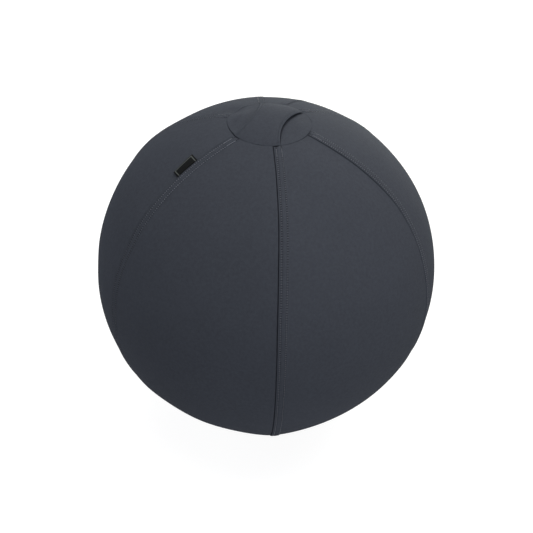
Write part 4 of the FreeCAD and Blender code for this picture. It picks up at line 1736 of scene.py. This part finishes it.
@dataclass
class CarryStrap:
    """Waisted double strap over the cap, sewn into the rim at both ends."""

    form: BallForm
    knit: bpy.types.Material
    waists: tuple[float, float] = (0.0288, 0.0290)
    waist_y: float = -0.007
    end_width: float = 0.0816
    middle_gap: float = 0.0064
    edge_gaps: tuple[float, float] = (0.0034, 0.0030)
    near_hold: float = 9.0
    far_hold: float = 2.4
    middle_hold: float = 2.0
    curl_power: int = 3
    rim_gap: float = 0.0004
    lay: float = 0.0003
    thick: float = 0.0030
    end_thick: float = 0.0006
    lip: float = 0.0013
    hem: float = 0.0042
    hem_depth: float = 0.00045
    hem_shade: float = 0.10
    hem_width: float = 0.0013
    hem_end: float = 0.9
    bead: float = 0.0009
    bead_place: float = 0.4
    tuck: float = 0.00075
    tuck_start: float = 0.86
    edge_round: float = 14.0
    lip_round: float = 24.0
    under_fade: float = 12.0
    area_share: float = 0.76
    plan_rounds: int = 12
    rows: int = 121
    columns: int = 61
    bend_start: float = 0.6358
    bend_end: float = 0.6500

    def plan(self, across: np.ndarray, along: np.ndarray) -> tuple[np.ndarray, np.ndarray]:
        """Places in plan.

        Args:
            across: shares of the half width, from -1 to 1.
            along: shares of the half length, from -1 to 1.

        Returns:
            Places across and along, in metres.
        """
        edge = self.form.cap_radius - self.rim_gap
        end_x = self.end_width / 2.0
        end_y = math.sqrt(edge ** 2 - end_x ** 2)
        waist = np.where(across < 0.0, *self.waists)
        x = across * waist
        for _ in range(self.plan_rounds):
            past = along * np.sqrt(edge ** 2 - x ** 2) - self.waist_y
            share = past / (end_y - np.where(past > 0.0, 1.0, -1.0) * self.waist_y)
            x = across * (waist + (end_x - waist) * share ** 2)
        return x, along * np.sqrt(edge ** 2 - x ** 2)

    def full_thickness(self, along: np.ndarray) -> np.ndarray:
        """Thickness of the padded double cloth away from its edges."""
        return self.end_thick + (self.thick - self.end_thick) * (1.0 - along ** 2)

    def thickness(self, across: np.ndarray, along: np.ndarray) -> np.ndarray:
        """Thickness of the padded double cloth, with rounded edges."""
        rounding = np.sqrt(np.clip(1.0 - np.abs(across) ** self.edge_round, 0.0, 1.0))
        return self.full_thickness(along) * rounding

    def middle_height(
        self, x: np.ndarray, y: np.ndarray, across: np.ndarray, along: np.ndarray
    ) -> np.ndarray:
        """Height of the strap's middle layer, arched, with edges curled down and ends tucked in.

        Args:
            x: places across.
            y: places along.
            across: shares of the half width, from -1 to 1.
            along: shares of the half length, from -1 to 1.

        Returns:
            Heights in metres.
        """
        curl = np.abs(across) ** self.curl_power
        hold = np.where((across > 0.0) & (along < 0.0), self.near_hold, self.far_hold)
        hold = self.middle_hold + (hold - self.middle_hold) * curl
        edge = np.where(across < 0.0, *self.edge_gaps)
        arch = (self.middle_gap * (1.0 - curl) + edge * curl) * (1.0 - np.abs(along) ** hold)
        end = smooth((np.abs(along) - self.tuck_start) / (1.0 - self.tuck_start))
        lift = arch + self.full_thickness(along) / 2.0 + self.lay - self.tuck * end
        return self.form.cap_height(x, y) + lift

    def hemmed(self, x: np.ndarray, half: np.ndarray, along: np.ndarray) -> tuple[np.ndarray, np.ndarray]:
        """Edge that is turned in to a soft bead beside a groove.

        Args:
            x: places across.
            half: places of the edge.
            along: shares of the half length, from -1 to 1.

        Returns:
            Heights, and the groove's share from 0 to 1, which sets its painted shade.
        """
        inset = np.abs(half) - np.abs(x)
        held = 1.0 - smooth((np.abs(along) - self.hem_end) / (1.0 - self.hem_end))
        groove = bell(inset - self.hem, self.hem_width) * held
        bead = bell(inset - self.bead_place * self.hem, self.hem_width) * held
        return self.bead * bead - self.hem_depth * groove, groove

    def build(self) -> None:
        """Makes the strap."""
        along = np.linspace(-1.0, 1.0, self.rows)[:, None]
        across = np.sin(np.linspace(-1.0, 1.0, self.columns) * math.pi / 2.0)[None, :]
        x, y = self.plan(across, along)
        half, _ = self.plan(np.where(across < 0.0, -1.0, 1.0), along)
        middle = self.middle_height(x, y, across, along)
        thick = self.thickness(across, along)
        hem, groove = self.hemmed(x, half, along)
        top = middle + thick / 2.0 + hem
        under = middle - thick / 2.0
        cloth = np.stack((x, y), axis=-1)
        # Painted shade in the hem's groove, and painted shadow on the whole underside and on the right edge's
        # lip, fading near the ends.
        crease_shade = self.hem_shade * groove
        free = 1.0 - np.abs(along) ** self.under_fade
        under_shade = free * np.ones_like(x)
        crease_shade[:, -1] = under_shade[:, -1]
        lower_x = x + self.lip * np.clip(across, 0.0, 1.0) ** self.lip_round * free
        upper = np.stack((x, y, top), axis=-1)
        lower = np.stack((lower_x, y, under), axis=-1)
        loop_points = np.concatenate((upper, lower[:, -2:0:-1]), axis=1)
        loop_cloth = np.concatenate((cloth, cloth[:, -2:0:-1]), axis=1)
        loop_shade = np.concatenate((crease_shade, under_shade[:, -2:0:-1]), axis=1)
        draft = MeshDraft()
        numbers = draft.add(loop_points, loop_cloth, loop_shade)
        draft.grid(numbers, wrap=True)
        for row, flip in ((0, True), (-1, False)):
            ring = np.append(numbers[row], numbers[row, 0])
            draft.ladder(ring[:self.columns], ring[:self.columns - 2:-1], flip)
        strap = place("carry_strap", draft.build("carry_strap"), self.knit)
        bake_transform(strap)
        attach(strap, None, ["carry_handle"])
        length = 2.0 * self.form.cap_radius
        area = self.area_share * self.end_width * length


@dataclass
class SideTab:
    """Bare woven tab, folded once and caught in the seam along its long side."""

    gore: Gore
    weave: bpy.types.Material
    length: float = TAB_LENGTH
    low_width: float = 0.0125
    high_width: float = TAB_WIDTH
    ply: float = 0.00055
    polar_deg: float = 30.2
    fold_gap: float = 0.0008
    fold_start: float = 0.86
    seam_gap: float = 0.0008
    lay: float = 0.0003
    stand: float = 0.0010
    low_stand: float = 0.0024
    stand_rise: float = 1.1
    rows: int = 47
    columns: int = 25

    def height(self, out: np.ndarray, up: np.ndarray) -> np.ndarray:
        """How far the tab's under ply stands off the gore, for shares out from the seam and up along it."""
        stand = self.stand + (self.low_stand - self.stand) * (1.0 - up)
        return self.lay + stand * smooth(out * self.stand_rise)

    def layer(self, out: np.ndarray, up: np.ndarray, over: np.ndarray) -> np.ndarray:
        """Places on the tab at a height over its under ply.

        Args:
            out: shares of the width.
            up: shares of the length.
            over: heights.

        Returns:
            Points in metres.
        """
        form = self.gore.form
        middle = math.pi / 2.0 - math.radians(self.polar_deg)
        elevation = middle + (up - 0.5) * self.length / form.radius
        width = self.low_width + (self.high_width - self.low_width) * up
        turn = self.gore.turn(Side.RIGHT, self.seam_gap + out * width, elevation)
        height = self.height(out, up) + over
        return self.gore.points(elevation, turn, height)

    def build(self) -> None:
        """Makes the two plies with the fold at the outer edge."""
        up = np.linspace(0.0, 1.0, self.rows)[:, None]
        share = np.linspace(0.0, 1.0, self.columns)[None, :]
        bent = np.clip(share - self.fold_start, 0.0, 1.0) / (1.0 - self.fold_start)
        fold = np.sqrt(np.clip(1.0 - bent ** 2, 0.0, 1.0))
        top = self.ply * 2.0 + self.fold_gap * smooth(share * 2.0)
        middle = top / 2.0
        outside = middle + (top - middle) * fold
        underside = middle - middle * fold
        out = np.broadcast_to(share, (self.rows, self.columns))
        rise = np.broadcast_to(up, out.shape)
        upper = self.layer(out, rise, np.broadcast_to(outside, out.shape))
        lower = self.layer(out, rise, np.broadcast_to(underside, out.shape))
        cloth = np.stack((out * self.high_width, rise * self.length), axis=-1)
        loop = np.concatenate((upper, lower[:, -2::-1]), axis=1)
        loop_cloth = np.concatenate((cloth, cloth[:, -2::-1]), axis=1)
        draft = MeshDraft()
        numbers = draft.add(loop, loop_cloth)
        draft.grid(numbers, wrap=True)
        for row, flip in ((0, True), (-1, False)):
            draft.ladder(numbers[row, :self.columns], numbers[row, :self.columns - 2:-1], flip)
        piece = place("woven_tab", draft.build("woven_tab"), self.weave)
        attach(piece, Body.BALL, ["side_tab"])
        (self.low_width + self.high_width) / 2.0 * self.length


@dataclass
class ZipFastener:
    """Zip in the back seam: two woven tapes, two rows of teeth, stops, slider and pull."""

    path: ZipPath
    weave: bpy.types.Material
    plastic: bpy.types.Material
    enamel: bpy.types.Material
    tape_gap: float = 0.003
    tape_width: float = 0.014
    tape_thick: float = 0.0007
    tape_sink: float = 0.00387
    tape_skin: float = 0.00003
    cord: float = 0.00025
    cord_width: float = 0.0009
    rows: int = 131
    columns: int = 13

    def build(self) -> None:
        """Makes the tapes and dresses the rigid parts."""
        for side in Side:
            self.tape(side)
        for name in ("zip_teeth_left", "zip_teeth_right", "zip_stops"):
            dress(name, self.plastic)
        for name in ("zip_slider", "zip_pull"):
            dress(name, self.enamel)

    def tape(self, side: Side) -> None:
        """One tape, with a corded edge beside the teeth.

        Args:
            side: which tape.
        """
        path = self.path
        along = np.linspace(-path.length / 2.0, path.length / 2.0, self.rows)[:, None]
        share = np.linspace(0.0, 1.0, self.columns)[None, :]
        across = self.tape_gap / 2.0 + share * (self.tape_width - self.tape_gap / 2.0)
        cord = self.cord * bell(across - self.tape_gap / 2.0, self.cord_width)
        across = np.broadcast_to(across, (self.rows, self.columns))
        top = np.broadcast_to(-self.tape_sink - self.tape_skin - cord, across.shape)
        under = np.full_like(across, -self.tape_sink - self.tape_thick)
        cloth = np.stack((across, np.broadcast_to(along, across.shape)), axis=-1)
        draft = MeshDraft()
        outer = draft.add(path.point(along, side.value * across, top), cloth)
        inner = draft.add(path.point(along, side.value * across, under), cloth)
        draft.shell(outer, inner)
        word = side.name.lower()
        name = f"tape_{word}"
        piece = attach(place(name, draft.build(name), self.weave), Body.BALL, [f"zip_tape_{word}"])
        flat = (self.tape_width - self.tape_gap / 2.0, path.length)


def dress(node: str, finish: bpy.types.Material) -> None:
    """Gives a CAD node that keeps its shape a better finish.

    Args:
        node: the node's name.
        finish: its material.
    """
    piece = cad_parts[node]
    piece.data.materials.clear()
    piece.data.materials.append(finish)
    log.info("%s: CAD shape, finish %s", node, finish.name)


@dataclass
class AirBall:
    """Blown-up vinyl ball inside the cover, pressed flat by the pouch, with a hole for its valve."""

    form: BallForm
    vinyl: bpy.types.Material
    radius: float = 0.3202
    seat: float = 0.2970
    wall: float = 0.0010
    hole: float = 0.0091
    valve_deg: float = 205.0
    rings: int = 110
    segments: int = 128
    flatness: float = 160.0

    def reach(self, heading: np.ndarray) -> np.ndarray:
        """Distance from the ball's centre to its skin, with the flat below and the cover's hollows.

        Args:
            heading: unit vectors.

        Returns:
            Distances in metres.
        """
        x, y, z = np.moveaxis(heading, -1, 0)
        steep = np.clip(-z, 0.0, 1.0) * self.radius / self.seat
        swell = self.form.swell(np.arcsin(np.clip(z, -1.0, 1.0)), np.arctan2(x, -y))
        hollow = np.minimum(swell, 0.0)
        return self.radius * (1.0 + steep ** self.flatness) ** (-1.0 / self.flatness) + hollow

    def build(self) -> None:
        """Makes the skin in rings about the valve."""
        out = self.form.heading(0.0, math.radians(self.valve_deg))
        beside = np.cross(UP, out)
        first = math.asin(self.hole / self.radius)
        angle = np.linspace(first, math.pi, self.rings + 1)[:-1, None, None]
        turn = (np.arange(self.segments) * (math.tau / self.segments))[None, :, None]
        ring = np.cos(turn) * beside + np.sin(turn) * UP
        heading = np.cos(angle) * out + np.sin(angle) * ring
        chart = np.concatenate(np.broadcast_arrays(turn * self.radius, angle * self.radius), axis=-1)
        draft = MeshDraft()
        skins = []
        for depth, flip in ((0.0, False), (self.wall, True)):
            reach = self.reach(heading) - depth
            skins.append(draft.add(self.form.centre + heading * reach[..., None], chart))
            pole = draft.add((self.form.centre - out * (self.radius - depth))[None], np.zeros((1, 2)))
            draft.grid(skins[-1], flip, wrap=True)
            draft.fan(int(pole[0]), skins[-1][-1], not flip)
        draft.grid(np.stack((skins[0][0], skins[1][0])), True, wrap=True)
        attach(place("air_ball", draft.build("air_ball"), self.vinyl), Body.BALL, ["inner_ball"])


@dataclass
class SandPouch:
    """Round canvas pouch in the foot of the cover, tight with sand, with a puckered seam round its edge."""

    form: BallForm
    canvas: bpy.types.Material
    bowl: float = 0.3202
    floor: float = 0.0028
    top: float = 0.0228
    wall: float = 0.0010
    pucker: float = 0.0006
    pucker_count: int = 44
    pucker_edge: float = 24.0
    pucker_shade: float = 0.5
    fill: float = 0.9
    rings: int = 44
    segments: int = 176

    def build(self) -> None:
        """Makes the pouch: a flat top, a bowl below it and a thin wall between them and the sand."""
        draft = MeshDraft()
        centre = self.form.centre[2]
        turn = (np.arange(self.segments) * (math.tau / self.segments))[None, :]
        for depth, flip in ((0.0, False), (self.wall, True)):
            bowl = self.bowl - depth
            edge = math.sqrt(bowl ** 2 - (centre - self.top + depth) ** 2)
            share = np.sin(np.linspace(0.0, math.pi / 2.0, self.rings + 1))[1:, None]
            edging = share ** self.pucker_edge
            drawn = self.pucker * (0.5 + 0.5 * np.cos(turn * self.pucker_count)) * edging
            reach = share * (edge - drawn)
            low = np.maximum(centre - np.sqrt(bowl ** 2 - reach ** 2), self.floor + depth)
            high = np.full_like(reach, self.top - depth)
            plan = np.stack((reach * np.cos(turn), reach * np.sin(turn)), axis=-1)
            pieces = []
            for level in (high, low):
                points = np.concatenate((plan, level[..., None]), axis=-1)
                # Painted shade towards the puckered edge.
                pieces.append(draft.add(points, plan, self.pucker_shade * edging))
            ends = np.array((self.top - depth, self.floor + depth))
            middles = draft.add(UP * ends[:, None], np.zeros((2, 2)))
            draft.fan(int(middles[0]), pieces[0][0], flip)
            draft.grid(pieces[0], not flip, wrap=True)
            draft.fan(int(middles[1]), pieces[1][0], not flip)
            draft.grid(pieces[1], flip, wrap=True)
            draft.grid(np.stack((pieces[0][-1], pieces[1][-1])), not flip, wrap=True)
        piece = place("sand_pouch", draft.build("sand_pouch"), self.canvas)
        attach(piece, Body.BALL, ["ballast_pouch"])


@dataclass
class Inside:
    """What the closed cover hides: air ball, valve, pouch and sand."""

    form: BallForm
    vinyl: bpy.types.Material
    valve: bpy.types.Material
    canvas: bpy.types.Material
    sand: bpy.types.Material

    def build(self) -> None:
        """Makes the two soft pieces and dresses the others."""
        AirBall(self.form, self.vinyl).build()
        SandPouch(self.form, self.canvas).build()
        dress("valve_seat", self.vinyl)
        dress("valve_plug", self.valve)
        dress("ballast_fill", self.sand)


@dataclass(frozen=True)
class Lamp:
    """Square soft lamp aimed at the ball."""

    name: str
    azimuth_deg: float
    elevation_deg: float
    watts: float
    colour: Colour
    distance: float = 2.6
    size: float = 1.5

    def hang(self, form: BallForm) -> None:
        """Sets the lamp up round the ball.

        Args:
            form: the ball's form.
        """
        back = Vector(form.heading(math.radians(self.elevation_deg), math.radians(self.azimuth_deg)))
        light = bpy.data.lights.new(self.name, "AREA")
        light.shape = "SQUARE"
        light.size = self.size
        light.energy = self.watts
        light.color = self.colour
        stand = bpy.data.objects.new(self.name, light)
        stand.matrix_world = Matrix.Translation(Vector(form.centre) + back * self.distance) @ (
            back.to_track_quat("Z", "Y").to_matrix().to_4x4())
        bpy.context.scene.collection.objects.link(stand)


@dataclass
class Studio:
    """White floor, soft lamps and the camera."""

    form: BallForm
    azimuth_deg: float = 20.0
    elevation_deg: float = 39.74
    roll_deg: float = 1.70
    distance: float = 1.615
    focal_pixels: float = 824.0
    frame_pixels: float = 533.0
    centre_pixel: tuple[float, float] = (265.6, 264.9)
    sensor: float = 36.0
    floor_size: float = 14.0
    floor_grey: float = 0.22
    floor_bounce: float = 0.75
    floor_glow: float = 0.92
    world_strength: float = 0.17
    world_colour: Colour = (0.95, 0.97, 1.0)
    white: Colour = (1.0, 1.0, 1.0)
    lamps: tuple[Lamp, ...] = (
        Lamp("front_lamp", 30.0, 12.0, 18.6, (0.864, 0.907, 1.0)),
        Lamp("right_lamp", 90.0, 12.0, 6.7, (1.0, 0.98, 0.94)),
        Lamp("back_lamp", 180.0, 12.0, 64.2, (0.985, 1.0, 0.89)),
        Lamp("left_lamp", 270.0, 12.0, 20.7, (0.84, 0.89, 1.0)),
        Lamp("back_high_lamp", 210.0, 34.0, 14.0, (1.0, 1.0, 0.93)),
        Lamp("right_high_lamp", 120.0, 58.0, 28.5, (1.0, 1.0, 1.0)),
        Lamp("top_lamp", 0.0, 84.0, 33.6, (1.0, 1.0, 0.98)),
    )

    def build(self) -> None:
        """Builds the stage."""
        bpy.context.scene.view_settings.view_transform = "Standard"
        self.camera()
        self.floor()
        self.world()
        for lamp in self.lamps:
            lamp.hang(self.form)

    def camera(self) -> None:
        """Camera at the photograph's place, with its small roll and shift."""
        azimuth = math.radians(self.azimuth_deg)
        elevation = math.radians(self.elevation_deg)
        roll = math.radians(self.roll_deg)
        back = Vector(self.form.heading(elevation, azimuth))
        level = Vector((math.cos(azimuth), math.sin(azimuth), 0.0))
        upright = back.cross(level)
        right = level * math.cos(roll) + upright * math.sin(roll)
        up = upright * math.cos(roll) - level * math.sin(roll)
        lens = bpy.data.cameras.new("camera")
        lens.sensor_width = self.sensor
        lens.lens = self.focal_pixels / self.frame_pixels * self.sensor
        lens.shift_x = 0.5 - self.centre_pixel[0] / self.frame_pixels
        lens.shift_y = self.centre_pixel[1] / self.frame_pixels - 0.5
        stand = bpy.data.objects.new("camera", lens)
        stand.matrix_world = Matrix.Translation(Vector(self.form.centre) + back * self.distance) @ Matrix(
            (right, up, back)).transposed().to_4x4()
        bpy.context.scene.collection.objects.link(stand)
        bpy.context.scene.camera = stand

    @staticmethod
    def seen(graph: Graph) -> Term:
        """Tells what is seen from light that bounces.

        Args:
            graph: the tree it is for.

        Returns:
            1 for what the camera, a reflection or glass sees, else 0.
        """
        path = graph.add("ShaderNodeLightPath").outputs
        total = Term(graph, path["Is Camera Ray"]) + Term(graph, path["Is Glossy Ray"])
        return (total + Term(graph, path["Is Transmission Ray"])).over(0.5)

    def floor(self) -> None:
        """Pale floor that shows white and keeps the ball's soft shadow."""
        half = self.floor_size / 2.0
        mesh = bpy.data.meshes.new("studio_floor")
        corners = [(-half, -half, 0.0), (half, -half, 0.0), (half, half, 0.0), (-half, half, 0.0)]
        mesh.from_pydata(corners, [], [(0, 1, 2, 3)])
        surface = Surface("studio_floor")
        pale, matt = (
            surface.add("ShaderNodeBsdfDiffuse", {}, {"Color": (*shade(self.white, grey), 1.0)})
            for grey in (self.floor_bounce, self.floor_grey))
        glow = surface.add("ShaderNodeEmission", {}, {
            "Color": (*self.white, 1.0), "Strength": self.floor_glow})
        lit = surface.add("ShaderNodeAddShader", {}, {0: matt.outputs[0], 1: glow.outputs[0]})
        shown = surface.add("ShaderNodeMixShader", {}, {
            0: self.seen(surface), 1: pale.outputs[0], 2: lit.outputs[0]})
        surface.add("ShaderNodeOutputMaterial", {}, {"Surface": shown.outputs[0]})
        place("studio_floor", mesh, surface.material)

    def world(self) -> None:
        """Even light all round that shows white."""
        world = bpy.data.worlds.new("studio")
        world.use_nodes = True
        graph = Graph(world.node_tree)
        soft, white = (
            graph.add("ShaderNodeBackground", {}, {"Color": (*colour, 1.0), "Strength": strength})
            for colour, strength in ((self.world_colour, self.world_strength), (self.white, 1.0)))
        shown = graph.add("ShaderNodeMixShader", {}, {
            0: self.seen(graph), 1: soft.outputs[0], 2: white.outputs[0]})
        graph.add("ShaderNodeOutputWorld", {}, {"Surface": shown.outputs[0]})
        bpy.context.scene.world = world


def main() -> None:
    """Builds the ball and the studio."""
    logging.basicConfig(level=logging.INFO, format="%(name)s: %(message)s")
    form = BallForm()
    zip_path = ZipPath(form)
    knit = KnitFinish().material()
    thread = ThreadFinish().material()
    grip = WeaveFinish(
        "grip_cloth", tone=(0.020, 0.021, 0.024), pitch=0.0016, depth=0.0002, roughness=0.80).material()
    dots = MouldedFinish("grip_rubber", tone=(0.014, 0.014, 0.015), roughness=0.55).material()
    Cover(form, zip_path, knit, thread, grip, dots).build()
    CarryStrap(form, knit).build()
    SideTab(Gore(form, SeamProfile(), zip_path, number=5), TabFinish().material()).build()
    tape = WeaveFinish(
        "tape_weave", tone=(0.022, 0.024, 0.029), pitch=0.0010, depth=0.00015, roughness=0.78).material()
    teeth = MouldedFinish("zip_plastic", tone=(0.020, 0.021, 0.024), roughness=0.34).material()
    ZipFastener(zip_path, tape, teeth, EnamelFinish().material()).build()
    vinyl = MouldedFinish(
        "ball_vinyl", tone=(0.120, 0.125, 0.135), roughness=0.42, grain=300.0, depth=0.0001).material()
    valve = MouldedFinish("valve_plastic", tone=(0.62, 0.62, 0.60), roughness=0.48).material()
    canvas = WeaveFinish(
        "pouch_canvas", tone=(0.060, 0.060, 0.062), pitch=0.0012, depth=0.0003, roughness=0.86).material()
    Inside(form, vinyl, valve, canvas, SandFinish().material()).build()
    Studio(form).build()


if __name__ == "__main__":
    main()
